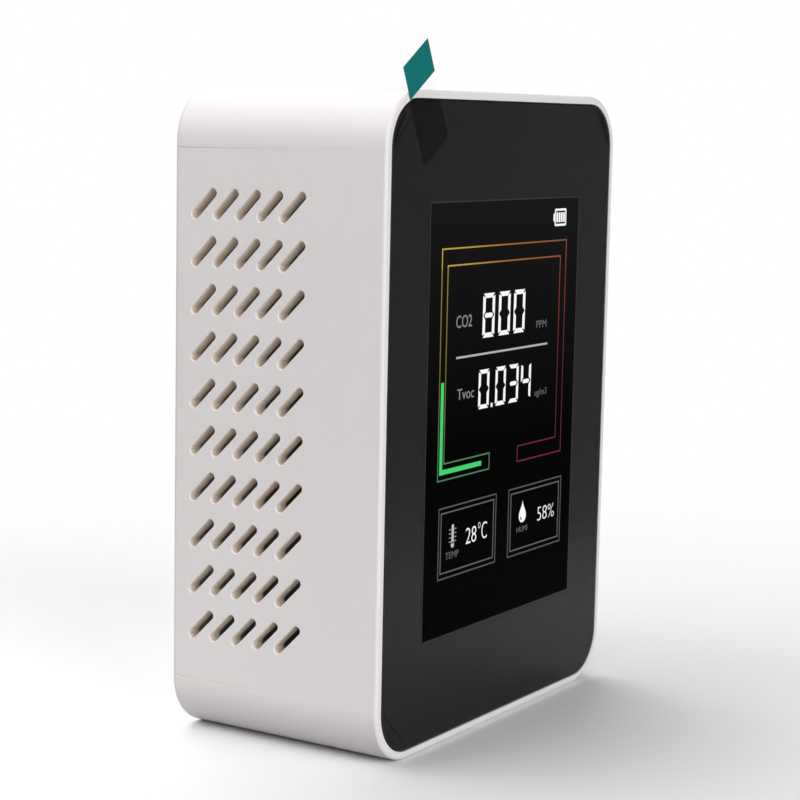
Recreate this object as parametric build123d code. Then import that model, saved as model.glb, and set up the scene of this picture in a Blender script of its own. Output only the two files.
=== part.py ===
"""Desktop air quality monitor, in millimetres.

The front faces -Y, +Z is up, and +X is on the right when the front is seen.
The origin is the centre of the footprint, on the surface that the monitor stands on.
Depths (the *_y values) run from the front, which is negative, to the back, which is positive.
"""

from build123d import *
from math import copysign, cos, radians, sin
import os

# ---------------------------------------------------------------- driving sizes

# Housing
width = 79.0
height = 111.0
depth = 42.5
corner_r = 9.4            # outline corners, seen from the front
wall = 2.9                # side, top and bottom walls
rim = 1.4                 # width of the housing edge around the front panel
front_edge_r = 0.6
back_edge_r = 1.0
ledge = 1.6               # front wall that the panel is stuck on
fit_gap = 0.1             # between a plate and the recess it lies in
overshoot = 1.0           # how far a cutter reaches past what it cuts

# Side air slots
slot_rows = 10
slot_columns = 5
slot_row_pitch = 8.0
slot_column_pitch = 4.53
slot_length = 6.7
slot_width = 1.55
slot_angle = 45.0         # degrees from horizontal, rising to the front
slot_back_margin = 6.3    # from the back face to the middle of the last column
slot_edge_chamfer = 0.12

# Moulding line where the side slides of the mould met the rest of it
mould_line_inset = 10.0   # from the top and from the bottom
mould_line_width = 0.25
mould_line_depth = 0.12
mould_line_length = 31.0  # from the back face

# Front panel, film and pull strip
panel_t = 1.5             # its face is flush with the housing rim
panel_edge_r = 0.25
film_t = 0.08
film_inset = 0.4
strip_t = 0.08            # pull strip, clear part and coloured part alike
strip_width = 8.5
strip_clear_length = 11.6
strip_tab_length = 5.6
strip_tilt = 24.7         # degrees from vertical, leaning to the left
strip_end_slant = 34.0    # degrees from horizontal
strip_join_from_side = 10.0   # middle of the line where colour meets clear
strip_join_above_top = 0.6

# Display
window_w = 52.0
window_h = 73.8
window_above_middle = 0.3
panel_adhesive_t = 0.3
panel_adhesive_inset = 1.0    # from the panel recess, each side
panel_adhesive_hole_gap = 0.5 # beyond the housing opening, each side
lcd_gasket_t = 0.5
lcd_gasket_w = 56.0
lcd_gasket_end_gap = 0.5  # to the ends of the display tray
lcd_gasket_window_gap = 0.75  # beyond the window, each side
lcd_w = 57.0
lcd_h = 85.4
lcd_top_border = 3.6      # from the window to the top of the tray
lcd_corner_r = 1.0
lcd_glass_corner_r = 0.5
bezel_sheet = 0.3
bezel_lip_gap = 0.4       # tray opening beyond the window, each side
lcd_glass_t = 1.2
lcd_backlight_t = 1.3
lcd_pad_t = 0.8
lcd_pad_w = 40.0
lcd_pad_h = 56.0
pad_corner_r = 1.0        # both foam pads
aperture_gap = 1.0        # housing opening around the display tray
flex_w = 20.0
flex_notch_gap = 0.5      # in the tray, each side of the flexible circuit
flex_t = 0.16
flex_loop_r = 1.8
flex_drop = 3.0           # how far the fold reaches below the tray

# Main board
board_side_gap = 2.6      # to the side walls
board_end_gap = 2.0       # to the rear cover's corner bosses
board_t = 1.6
board_corner_r = 1.5
board_hole_from_end = 4.5
board_boss_lcd_gap = 0.1  # between a boss and the display tray
board_boss_r = 2.4
board_screw_r = 0.95
board_screw_head_r = 1.9
board_screw_head_t = 1.2
board_screw_grip = 2.6    # depth in the boss
board_hole_gap = 0.1      # around a screw's shank, in either board
pilot_gap = 0.05          # around a screw's shank, in its boss
pilot_extra = 0.3         # pilot hole beyond the screw's tip
screw_head_edge_r = 0.3
recess_length_share = 1.2 # driver recess, of the head's radius
recess_width_share = 0.28
recess_depth_share = 0.6  # of the head's thickness

# Rear cover
cover_t = 2.0
cover_boss_r = 3.6
cover_hole_inset = 4.0    # boss centre, from the walls' inner faces
cover_screw_r = 1.0
cover_screw_head_r = 2.0
cover_screw_head_t = 1.0
cover_screw_length = 9.0  # pilot hole, from the cover's front
cover_screw_tip_gap = 0.5 # pilot hole beyond the screw's tip
cover_hole_gap = 0.15     # around a screw's shank and head, in the cover
cover_pocket_depth = 1.1
cover_edge_r = 0.4
boss_rib_t = 1.4

# Power board, which lies flat along the bottom
power_board_side_gap = 3.0    # to the rear cover's corner bosses
power_board_d = 22.0
power_board_t = 1.6
power_boss_h = 3.0
power_boss_r = 2.4
power_hole_from_side = 3.2
power_hole_from_back = 11.0
power_recess_l = 2.2      # driver recess of its screws
power_recess_w = 0.55
power_board_gap = 0.3     # between the board and the pressed button's flange

# USB-C socket
usb_x = -12.0
usb_w = 8.94
usb_h = 3.26
usb_d = 7.35
usb_sheet = 0.3
usb_mouth_gap = 0.25      # cut-out around the shell
usb_mouth_sink = 0.6      # shell mouth in front of the cover's outer face
tongue_w = 6.69
tongue_t = 0.7
tongue_length = 4.45
usb_block_d = 2.2
usb_end_flat = 0.01       # half the short straight left between its two round ends

# Switch and power button
button_x = 12.0
button_r = 3.5
button_gap = 0.08         # running clearance in the cover
button_dish_r = 5.2
button_dish_depth = 0.9
button_proud = 0.7        # cap above the dish floor
button_flange_r = 4.4
button_flange_t = 0.8
button_stem_r = 1.3
button_travel = 0.35
button_edge_r = 0.4
switch_w = 6.0
switch_h = 3.5
switch_d = 3.6
switch_from_back = 1.6    # switch face to the board's back edge
plunger_w = 2.6
plunger_h = 1.4
plunger_out = 1.0
plunger_in = 1.2
plunger_gap = 0.05
plunger_end_gap = 0.2     # behind the pressed plunger
switch_edge = 0.3

# Battery
battery_w = 34.0
battery_h = 50.0
battery_t = 6.0
battery_edge_r = 1.2
battery_above_middle = 6.5
battery_pad_t = 0.6
battery_pad_inset = 3.0
seal_h = 3.0              # folded seal and protection strip under the cell
seal_t = 2.4
seal_inset = 3.0          # each side of the cell
seal_overlap = 0.4        # up into the cell's rounded edge
lead_r = 0.65
lead_half_pitch = 1.25
lead_bend_r = 5.0
lead_bend_start = 9.0     # below the seal
lead_bend_end = 15.0
header_w = 7.6
header_d = 5.6
header_h = 5.0
header_wall = 0.8
header_from_front = 6.8   # middle of the header, from the power board's front edge
plug_h = 5.4
plug_gap = 0.05           # in its header, each side
plug_edge = 0.2

# Sensors on the main board
co2_w = 19.6
co2_h = 33.0
co2_t = 7.6
co2_board_t = 1.0
co2_standoff = 2.6
co2_edge_gap = 0.8        # to the main board's left edge
co2_above_middle = 2.5
co2_pins_per_row = 5
co2_pin_row_inset = 1.6   # from the ends of its board
co2_corner_r = 1.0
co2_chamber_side_inset = 0.8
co2_chamber_end_inset = 3.5
co2_chamber_edge_r = 0.7
filter_w = 8.0
filter_h = 18.0
filter_t = 0.5
filter_corner_r = 0.5
filter_gap = 0.1          # in its pocket, each side
filter_shave = 0.1        # it is pressed this much thinner in its pocket
pin_side = 0.64
pin_pitch = 2.54
voc_from_edge = 12.0      # from the main board's right edge
voc_above_middle = 6.5
voc_base_r = 4.9
voc_base_t = 1.4
voc_can_r = 4.6
voc_can_h = 6.6
voc_standoff = 1.5
voc_pin_r = 0.4
voc_pin_offset = 2.6      # from the sensor's axis, in both directions
voc_pin_grip = 0.5        # into the base
voc_can_sheet = 0.3
voc_can_edge_r = 0.6
voc_hole_r = 0.35
voc_hole_pitch = 1.1      # between rings of holes
humid_w = 12.6
humid_h = 15.8
humid_t = 5.6
humid_edge_gap = 1.7      # to the main board's left edge
humid_below_middle = 26.5
humid_standoff = 1.2
humid_grille_rows = 6
humid_grille_inset = 2.0  # from the edges of the case
humid_grille_depth = 0.8
humid_corner_r = 0.8
humid_edge_r = 0.6
humid_pins = 4
humid_pin_row_inset = 1.5

# Chips and other small parts
chip_corner_r = 0.3
chip_edge = 0.15
leg_t = 0.2
leg_l = 1.2
leg_out = 0.4             # middle of a leg, beyond the chip's side
leg_row_share = 0.8       # row of legs, of the chip's side
mcu_side = 10.0
mcu_t = 1.4
mcu_x = 2.0
mcu_above_middle = 10.5
mcu_legs = 12             # on each of two sides
mcu_leg_w = 0.3
flash_side = 5.3
flash_t = 1.6
flash_below_middle = 5.5
flash_legs = 4
flash_leg_w = 0.5
buzzer_r = 6.0
buzzer_h = 5.5
buzzer_port_r = 1.2
buzzer_floor = 2.0        # under the port
buzzer_edge_r = 0.5
buzzer_above_middle = 28.5
charger_w = 4.9
charger_d = 3.9
charger_t = 1.3
charger_x = -9.0
charger_from_front = 6.0  # middle of the chip, from the power board's front edge
inductor_side = 6.0
inductor_t = 3.0
inductor_x = -17.5
inductor_from_front = 5.5
inductor_corner_r = 1.0
fpc_w = 24.0
fpc_h = 4.6
fpc_t = 2.0
fpc_above_edge = 2.5      # connector above the main board's lower edge

# Flat cable between the boards
link_w = 8.0
link_t = 0.3
link_bend_share = 0.3     # bend radius, of the run between the two boards
link_x = 18.0
link_socket_w = 10.0
link_socket_l = 4.0
link_socket_t = 2.0
link_socket_from_front = 1.0  # from the power board's front edge
link_above_edge = 9.0     # main board's socket above the board's lower edge

# ---------------------------------------------------------------- derived places

mid_z = height / 2
front_y = -depth / 2
back_y = depth / 2
inner_w = width - 2 * wall
inner_h = height - 2 * wall
inner_corner_r = corner_r - wall

panel_back_y = front_y + panel_t
ledge_front_y = panel_back_y + panel_adhesive_t
ledge_back_y = ledge_front_y + ledge
recess_w = width - 2 * rim
recess_h = height - 2 * rim
recess_corner_r = corner_r - rim

window_z = mid_z + window_above_middle
lcd_top_z = window_z + window_h / 2 + lcd_top_border
lcd_mid_z = lcd_top_z - lcd_h / 2
lcd_bottom_z = lcd_top_z - lcd_h
bezel_front_y = panel_back_y + lcd_gasket_t
glass_front_y = bezel_front_y + bezel_sheet
backlight_front_y = glass_front_y + lcd_glass_t
lcd_back_y = backlight_front_y + lcd_backlight_t
lcd_inner_gap = bezel_sheet + fit_gap
lcd_inner_w = lcd_w - 2 * lcd_inner_gap
lcd_inner_h = lcd_h - 2 * lcd_inner_gap

cover_front_y = back_y - cover_t
cover_hole_x = inner_w / 2 - cover_hole_inset
cover_hole_z = inner_h / 2 - cover_hole_inset

board_front_y = lcd_back_y + lcd_pad_t
board_back_y = board_front_y + board_t
board_w = inner_w - 2 * board_side_gap
board_h = 2 * (cover_hole_z - cover_boss_r - board_end_gap)
board_bottom_z = mid_z - board_h / 2
board_hole_x = lcd_w / 2 + board_boss_lcd_gap + board_boss_r
board_hole_z = board_h / 2 - board_hole_from_end

power_board_w = 2 * (cover_hole_x - cover_boss_r - power_board_side_gap)
power_hole_x = power_board_w / 2 - power_hole_from_side
power_board_z = wall + power_boss_h
power_top_z = power_board_z + power_board_t
flange_front_y = cover_front_y - button_flange_t
power_back_y = flange_front_y - button_travel - power_board_gap
power_front_y = power_back_y - power_board_d
power_hole_y = power_back_y - power_hole_from_back
usb_mid_z = power_top_z + usb_h / 2
usb_back_y = back_y - usb_mouth_sink
usb_front_y = usb_back_y - usb_d
switch_mid_z = power_top_z + switch_h / 2
switch_back_y = power_back_y - switch_from_back
plunger_tip_y = switch_back_y + plunger_out
dish_floor_y = back_y - button_dish_depth
button_back_y = dish_floor_y + button_proud

battery_back_y = cover_front_y - battery_pad_t
battery_mid_y = battery_back_y - battery_t / 2
battery_mid_z = mid_z + battery_above_middle
battery_bottom_z = battery_mid_z - battery_h / 2
header_y = power_front_y + header_from_front

co2_mid_x = -board_w / 2 + co2_edge_gap + co2_w / 2
co2_mid_z = mid_z + co2_above_middle
humid_mid_x = -board_w / 2 + humid_edge_gap + humid_w / 2
humid_mid_z = mid_z - humid_below_middle
voc_x = board_w / 2 - voc_from_edge
voc_z = mid_z + voc_above_middle
buzzer_z = mid_z + buzzer_above_middle


# ---------------------------------------------------------------- shape helpers

def slab(outline, y_front, y_back):
    """Extrude an outline drawn in the X-Z plane from y_front to y_back."""
    plane = Plane.XZ.offset(-y_back)
    return extrude(plane * outline, y_back - y_front)


def plate(w, h, r, y_front, y_back, x=0.0, z=0.0):
    """Upright plate with rounded corners, parallel to the front."""
    return slab(Pos(x, z) * RectangleRounded(w, h, r), y_front, y_back)


def block(w, d, h, x, y, z):
    """Box centred on x and y, standing on z."""
    return Pos(x, y, z + h / 2) * Box(w, d, h)


def rod(r, y_front, y_back, x, z):
    """Cylinder along Y."""
    return Pos(x, (y_front + y_back) / 2, z) * Rot(X=90) * Cylinder(r, y_back - y_front)


def post(r, z_low, z_high, x, y):
    """Cylinder along Z."""
    return Pos(x, y, (z_low + z_high) / 2) * Cylinder(r, z_high - z_low)


def corners(x, z, middle_z=mid_z):
    """The four places at plus and minus x, and z above and below the middle."""
    return [(sx * x, middle_z + sz * z) for sx in (-1, 1) for sz in (-1, 1)]


def joined(pieces):
    """Fuse a list of solids that touch."""
    result = pieces[0]
    for piece in pieces[1:]:
        result = result + piece
    return result


def ribbon(points, r, w, t, x):
    """Flat strip of width w along a folded path of (y, z) points."""
    path = FilletPolyline(*[(x, y, z) for y, z in points], radius=r)
    start = Plane(origin=path @ 0, x_dir=(1, 0, 0), z_dir=path % 0)
    return sweep(start * Rectangle(w, t), path=path)


def cross_recess(head_r, recess_d, y_top, x, z):
    """Cross-shaped driver recess that opens to the back at y_top."""
    bar = Box(recess_length_share * head_r, recess_d, recess_width_share * head_r)
    middle = Pos(x, y_top - recess_d / 2, z)
    return middle * bar + middle * Rot(Y=90) * bar


# ---------------------------------------------------------------- housing

def slot_faces(w, length):
    """All slots of one side, drawn with (y, z) as local coordinates."""
    faces = []
    for row in range(slot_rows):
        for column in range(slot_columns):
            y = back_y - slot_back_margin - column * slot_column_pitch
            z = mid_z + (row - (slot_rows - 1) / 2) * slot_row_pitch
            faces.append(Pos(y, z) * Rot(Z=-slot_angle) * SlotOverall(length, w))
    return Sketch() + faces


def mould_lines():
    """Shallow wedge grooves along both sides, deepest at the back edge."""
    cuts = []
    wedge = Polygon(
        (0, 0), (mould_line_length, 0), (mould_line_length, -mould_line_depth), align=None)
    for side in (-1, 1):
        for z in (mould_line_inset, height - mould_line_inset):
            plane = Plane(
                origin=(side * width / 2, back_y - mould_line_length, z - mould_line_width / 2),
                x_dir=(0, 1, 0), z_dir=(0, 0, 1))
            outline = wedge if side < 0 else mirror(wedge, Plane.XZ)
            cuts.append(extrude(plane * outline, mould_line_width))
    return cuts


def make_housing():
    body = plate(width, height, corner_r, front_y, back_y, z=mid_z)
    body = fillet(body.faces().sort_by(Axis.Y)[0].edges(), front_edge_r)
    body = fillet(body.faces().sort_by(Axis.Y)[-1].edges(), back_edge_r)
    body -= plate(recess_w, recess_h, recess_corner_r, front_y - overshoot, ledge_front_y,
                  z=mid_z)
    body -= plate(inner_w, inner_h, inner_corner_r, ledge_back_y, back_y + overshoot, z=mid_z)
    body -= plate(
        lcd_w + 2 * aperture_gap, lcd_h + 2 * aperture_gap, lcd_corner_r + aperture_gap,
        front_y, ledge_back_y + overshoot, z=lcd_mid_z)

    # Air slots go through both side walls.
    side_x = -width / 2 - overshoot
    side_plane = Plane(origin=(side_x, 0, 0), x_dir=(0, 1, 0), z_dir=(1, 0, 0))
    body -= extrude(side_plane * slot_faces(slot_width, slot_length), width + 2 * overshoot)
    for side in (-1, 1):
        face = body.faces().filter_by(Axis.X).sort_by(Axis.X)[0 if side < 0 else -1]
        edges = [edge for wire in face.inner_wires() for edge in wire.edges()]
        body = chamfer(edges, slot_edge_chamfer)
    for cut in mould_lines():
        body -= cut

    # Screw bosses for the rear cover, tied to both walls of their corner by ribs.
    boss_d = cover_front_y - ledge_back_y
    boss_y = (cover_front_y + ledge_back_y) / 2
    rib_w = (inner_w + wall) / 2 - cover_hole_x
    rib_h = (inner_h + wall) / 2 - cover_hole_z
    pilot_front = cover_front_y - cover_screw_length
    for x, z in corners(cover_hole_x, cover_hole_z):
        rib_x = x + copysign(rib_w / 2, x)
        rib_z = z + copysign(rib_h / 2, z - mid_z)
        body += rod(cover_boss_r, ledge_back_y, cover_front_y, x, z)
        body += Pos(rib_x, boss_y, z) * Box(rib_w, boss_d, boss_rib_t)
        body += Pos(x, boss_y, rib_z) * Box(boss_rib_t, boss_d, rib_h)
        body -= rod(cover_screw_r + pilot_gap, pilot_front, cover_front_y + overshoot, x, z)

    # Screw bosses for the main board, behind the ledge.
    for x, z in corners(board_hole_x, board_hole_z):
        body += rod(board_boss_r, ledge_back_y, board_front_y, x, z)
        body -= rod(board_screw_r + pilot_gap, board_front_y - board_screw_grip - pilot_extra,
                    board_front_y + overshoot, x, z)

    # Screw bosses for the power board, on the bottom wall.
    for side in (-1, 1):
        x = side * power_hole_x
        body += post(power_boss_r, wall / 2, power_board_z, x, power_hole_y)
        body -= post(board_screw_r + pilot_gap, power_board_z - board_screw_grip - pilot_extra,
                     power_board_z + overshoot, x, power_hole_y)
    return body


# ---------------------------------------------------------------- front panel and film

def make_front_panel():
    panel = plate(
        recess_w - 2 * fit_gap, recess_h - 2 * fit_gap, recess_corner_r - fit_gap,
        front_y, panel_back_y, z=mid_z)
    return fillet(panel.faces().sort_by(Axis.Y)[0].edges(), panel_edge_r)


def make_protective_film():
    inset = fit_gap + panel_edge_r + film_inset
    return plate(
        recess_w - 2 * inset, recess_h - 2 * inset, recess_corner_r - inset,
        front_y - film_t, front_y, z=mid_z)


def strip_part(start, end):
    """Stretch of the pull strip, from start to end along its length.

    Zero is the line where the colour meets the clear part, and positive runs down
    the strip.
    """
    tilt = radians(strip_tilt)
    slant = radians(strip_end_slant)
    down = Vector(sin(tilt), -cos(tilt))
    half = strip_width / 2 / cos(slant - tilt)
    across = Vector(cos(slant), sin(slant)) * half
    join = Vector(-width / 2 + strip_join_from_side, height + strip_join_above_top)
    a = join + down * start
    b = join + down * end
    ends = (a - across, b - across, b + across, a + across)
    outline = Polygon(*[(point.X, point.Y) for point in ends], align=None)
    face_y = front_y - film_t
    return slab(outline, face_y - strip_t, face_y)


# ---------------------------------------------------------------- display

def frame_plate(outer_w, outer_h, outer_z, hole_w, hole_h, hole_z, r, y_front, y_back):
    """Flat frame: an upright plate with a rectangular opening."""
    frame = plate(outer_w, outer_h, r, y_front, y_back, z=outer_z)
    return frame - plate(
        hole_w, hole_h, r / 2, y_front - overshoot, y_back + overshoot, z=hole_z)


def make_lcd_bezel():
    tray = plate(lcd_w, lcd_h, lcd_corner_r, bezel_front_y, lcd_back_y, z=lcd_mid_z)
    tray -= plate(
        lcd_w - 2 * bezel_sheet, lcd_h - 2 * bezel_sheet, lcd_corner_r - bezel_sheet,
        glass_front_y, lcd_back_y + overshoot, z=lcd_mid_z)
    tray -= plate(
        window_w + 2 * bezel_lip_gap, window_h + 2 * bezel_lip_gap, lcd_corner_r / 2,
        bezel_front_y - overshoot, glass_front_y + fit_gap, z=window_z)
    notch_y = (backlight_front_y + lcd_back_y) / 2
    notch = Box(flex_w + 2 * flex_notch_gap, lcd_backlight_t, 4 * bezel_sheet)
    return tray - Pos(0, notch_y, lcd_bottom_z) * notch


def flex_path():
    """Fold of the display's flexible circuit, as (y, z) corners."""
    start_y = (backlight_front_y + lcd_back_y) / 2
    end_y = board_back_y + fpc_t / 2
    low_z = min(lcd_bottom_z, board_bottom_z) - flex_drop
    start_z = lcd_bottom_z + lcd_inner_gap
    return [(start_y, start_z), (start_y, low_z), (end_y, low_z),
            (end_y, board_bottom_z + fpc_above_edge)]


# ---------------------------------------------------------------- boards

def make_main_board():
    board = plate(board_w, board_h, board_corner_r, board_front_y, board_back_y, z=mid_z)
    for x, z in corners(board_hole_x, board_hole_z):
        board -= rod(board_screw_r + board_hole_gap, board_front_y - overshoot,
                     board_back_y + overshoot, x, z)
    return board


def make_power_board():
    outline = Pos(0, power_back_y - power_board_d / 2) * RectangleRounded(
        power_board_w, power_board_d, board_corner_r)
    board = extrude(Plane.XY.offset(power_board_z) * outline, power_board_t)
    for side in (-1, 1):
        board -= post(board_screw_r + board_hole_gap, power_board_z - overshoot,
                      power_top_z + overshoot, side * power_hole_x, power_hole_y)
    return board


def upright_screw(shank_r, head_r, head_t, shank_front, seat_y, x, z):
    """Screw along Y with its head to the back, seated on seat_y."""
    head = rod(head_r, seat_y, seat_y + head_t, x, z)
    head = fillet(head.faces().sort_by(Axis.Y)[-1].edges(), screw_head_edge_r)
    head -= cross_recess(head_r, head_t * recess_depth_share, seat_y + head_t, x, z)
    return head + rod(shank_r, shank_front, seat_y, x, z)


def make_board_screws():
    front = board_front_y - board_screw_grip
    return [upright_screw(board_screw_r, board_screw_head_r, board_screw_head_t,
                          front, board_back_y, x, z)
            for x, z in corners(board_hole_x, board_hole_z)]


def make_cover_screws():
    seat = back_y - cover_pocket_depth
    front = cover_front_y - cover_screw_length + cover_screw_tip_gap
    return [upright_screw(cover_screw_r, cover_screw_head_r, cover_screw_head_t,
                          front, seat, x, z)
            for x, z in corners(cover_hole_x, cover_hole_z)]


def make_power_board_screws():
    screws = []
    for side in (-1, 1):
        x = side * power_hole_x
        head = post(board_screw_head_r, power_top_z, power_top_z + board_screw_head_t,
                    x, power_hole_y)
        head = fillet(head.faces().sort_by(Axis.Z)[-1].edges(), screw_head_edge_r)
        recess_d = board_screw_head_t * recess_depth_share
        bar_z = power_top_z + board_screw_head_t - recess_d / 2
        bar = Box(power_recess_l, power_recess_w, recess_d)
        head -= Pos(x, power_hole_y, bar_z) * bar
        head -= Pos(x, power_hole_y, bar_z) * Rot(Z=90) * bar
        shank = post(board_screw_r, power_board_z - board_screw_grip, power_top_z,
                     x, power_hole_y)
        screws.append(head + shank)
    return screws


def leaded_chip(side_length, t, z, legs, leg_w):
    """Flat square chip on the back of the main board, with legs along two sides."""
    leg_y = board_back_y + leg_t / 2
    body = plate(side_length, side_length, chip_corner_r, leg_y, board_back_y + t, mcu_x, z)
    body = chamfer(body.faces().sort_by(Axis.Y)[-1].edges(), chip_edge)
    pitch = side_length * leg_row_share / legs
    pieces = [body]
    for side in (-1, 1):
        for i in range(legs):
            leg_z = z + (i - (legs - 1) / 2) * pitch
            leg_x = mcu_x + side * (side_length / 2 + leg_out)
            pieces.append(Pos(leg_x, leg_y, leg_z) * Box(leg_l, leg_t, leg_w))
    return joined(pieces)


def make_buzzer():
    can = rod(buzzer_r, board_back_y, board_back_y + buzzer_h, voc_x, buzzer_z)
    can = fillet(can.faces().sort_by(Axis.Y)[-1].edges(), buzzer_edge_r)
    return can - rod(buzzer_port_r, board_back_y + buzzer_floor,
                     board_back_y + buzzer_h + overshoot, voc_x, buzzer_z)


# ---------------------------------------------------------------- sensors

def make_co2_parts():
    """CO2 module: board, optical chamber, filter membrane and two pin rows."""
    board_y = board_back_y + co2_standoff
    chamber_y = board_y + co2_board_t
    board = plate(co2_w, co2_h, co2_corner_r, board_y, chamber_y, co2_mid_x, co2_mid_z)
    top_y = chamber_y + co2_t
    chamber = plate(
        co2_w - 2 * co2_chamber_side_inset, co2_h - 2 * co2_chamber_end_inset, co2_corner_r,
        chamber_y, top_y, co2_mid_x, co2_mid_z)
    chamber = fillet(chamber.faces().sort_by(Axis.Y)[-1].edges(), co2_chamber_edge_r)
    pocket_y = top_y - filter_t + filter_shave
    chamber -= plate(
        filter_w + 2 * filter_gap, filter_h + 2 * filter_gap, filter_corner_r + filter_gap,
        pocket_y, top_y + overshoot, co2_mid_x, co2_mid_z)
    membrane = plate(filter_w, filter_h, filter_corner_r, pocket_y, top_y,
                     co2_mid_x, co2_mid_z)
    pins = []
    for side in (-1, 1):
        row_z = co2_mid_z + side * (co2_h / 2 - co2_pin_row_inset)
        for i in range(co2_pins_per_row):
            x = co2_mid_x + (i - (co2_pins_per_row - 1) / 2) * pin_pitch
            pins.append(Pos(x, (board_back_y + board_y) / 2, row_z) * Box(
                pin_side, co2_standoff, pin_side))
    return board, chamber, membrane, pins


def make_voc_parts():
    """Gas sensor: plastic base on four pins, and a metal can with gauze holes."""
    base_y = board_back_y + voc_standoff
    base = rod(voc_base_r, base_y, base_y + voc_base_t, voc_x, voc_z)
    for sx in (-1, 1):
        for sz in (-1, 1):
            base += rod(voc_pin_r, board_back_y, base_y + voc_pin_grip,
                        voc_x + sx * voc_pin_offset, voc_z + sz * voc_pin_offset)
    can_y = base_y + voc_base_t
    can = rod(voc_can_r, can_y, can_y + voc_can_h, voc_x, voc_z)
    can_top_y = can_y + voc_can_h
    can = fillet(can.faces().sort_by(Axis.Y)[-1].edges(), voc_can_edge_r)
    can -= rod(voc_can_r - voc_can_sheet, can_y - overshoot, can_top_y - voc_can_sheet,
               voc_x, voc_z)
    for ring in (1, 2):
        for turn in range(6 * ring):
            angle = radians(turn * 60 / ring)
            can -= rod(voc_hole_r, can_top_y - overshoot, can_top_y + overshoot,
                       voc_x + ring * voc_hole_pitch * cos(angle),
                       voc_z + ring * voc_hole_pitch * sin(angle))
    return base, can


def make_humidity_parts():
    """Temperature and humidity sensor: grilled case and four pins."""
    front = board_back_y + humid_standoff
    case = plate(humid_w, humid_h, humid_corner_r, front, front + humid_t,
                 humid_mid_x, humid_mid_z)
    case = fillet(case.faces().sort_by(Axis.Y)[-1].edges(), humid_edge_r)
    pitch = (humid_h - 2 * humid_grille_inset) / humid_grille_rows
    gap = Box(humid_w - 2 * humid_grille_inset, 2 * humid_grille_depth, pitch / 2)
    for i in range(humid_grille_rows):
        z = humid_mid_z + (i - (humid_grille_rows - 1) / 2) * pitch
        case -= Pos(humid_mid_x, front + humid_t, z) * gap
    pin = Box(pin_side, humid_standoff, pin_side)
    pin_z = humid_mid_z - humid_h / 2 + humid_pin_row_inset
    pins = [Pos(humid_mid_x + (i - (humid_pins - 1) / 2) * pin_pitch,
                board_back_y + humid_standoff / 2, pin_z) * pin
            for i in range(humid_pins)]
    return case, pins


# ---------------------------------------------------------------- rear cover and its parts

def make_rear_cover():
    cover = plate(
        inner_w - 2 * fit_gap, inner_h - 2 * fit_gap, inner_corner_r - fit_gap,
        cover_front_y, back_y, z=mid_z)
    cover = fillet(cover.faces().sort_by(Axis.Y)[-1].edges(), cover_edge_r)
    for x, z in corners(cover_hole_x, cover_hole_z):
        cover -= rod(cover_screw_head_r + cover_hole_gap, back_y - cover_pocket_depth,
                     back_y + overshoot, x, z)
        cover -= rod(cover_screw_r + cover_hole_gap, cover_front_y - overshoot, back_y, x, z)
    cover -= plate(usb_w + 2 * usb_mouth_gap, usb_h + 2 * usb_mouth_gap,
                   usb_h / 2, cover_front_y - overshoot, back_y + overshoot,
                   usb_x, usb_mid_z)
    cover -= rod(button_dish_r, dish_floor_y, back_y + overshoot, button_x, switch_mid_z)
    cover -= rod(button_r + button_gap, cover_front_y - overshoot, back_y,
                 button_x, switch_mid_z)
    return cover


def make_power_button():
    cap = rod(button_r, cover_front_y, button_back_y, button_x, switch_mid_z)
    cap = fillet(cap.faces().sort_by(Axis.Y)[-1].edges(), button_edge_r)
    cap += rod(button_flange_r, flange_front_y, cover_front_y, button_x, switch_mid_z)
    return cap + rod(button_stem_r, plunger_tip_y, flange_front_y, button_x, switch_mid_z)


def make_switch_parts():
    body = Pos(button_x, switch_back_y - switch_d / 2, switch_mid_z) * Box(
        switch_w, switch_d, switch_h)
    body = chamfer(body.edges().filter_by(Axis.Y), switch_edge)
    pocket_d = plunger_in + button_travel + plunger_end_gap
    body -= Pos(button_x, switch_back_y - pocket_d / 2, switch_mid_z) * Box(
        plunger_w + 2 * plunger_gap, pocket_d, plunger_h + 2 * plunger_gap)
    length = plunger_in + plunger_out
    plunger = Pos(button_x, plunger_tip_y - length / 2, switch_mid_z) * Box(
        plunger_w, length, plunger_h)
    return body, plunger


def make_usb_parts():
    """USB-C socket: flat-oval steel shell, and the insulator with its tongue."""
    shell = plate(usb_w, usb_h, usb_h / 2 - usb_end_flat, usb_front_y, usb_back_y,
                  usb_x, usb_mid_z)
    mouth_w = usb_w - 2 * usb_sheet
    mouth_h = usb_h - 2 * usb_sheet
    mouth_r = mouth_h / 2 - usb_end_flat
    shell -= plate(mouth_w, mouth_h, mouth_r, usb_front_y - overshoot, usb_back_y + overshoot,
                   usb_x, usb_mid_z)
    block_back = usb_front_y + usb_block_d
    core = plate(mouth_w, mouth_h, mouth_r, usb_front_y, block_back, usb_x, usb_mid_z)
    tongue_back = block_back + tongue_length
    core += Pos(usb_x, (block_back + tongue_back) / 2, usb_mid_z) * Box(
        tongue_w, tongue_length, tongue_t)
    return shell, core


# ---------------------------------------------------------------- battery

def make_battery():
    cell = Pos(0, battery_mid_y, battery_mid_z) * Box(battery_w, battery_t, battery_h)
    cell = fillet(cell.edges(), battery_edge_r)
    seal = block(battery_w - 2 * seal_inset, seal_t, seal_h + 2 * seal_overlap,
                 0, battery_mid_y, battery_bottom_z - seal_h)
    return cell + seal


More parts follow.
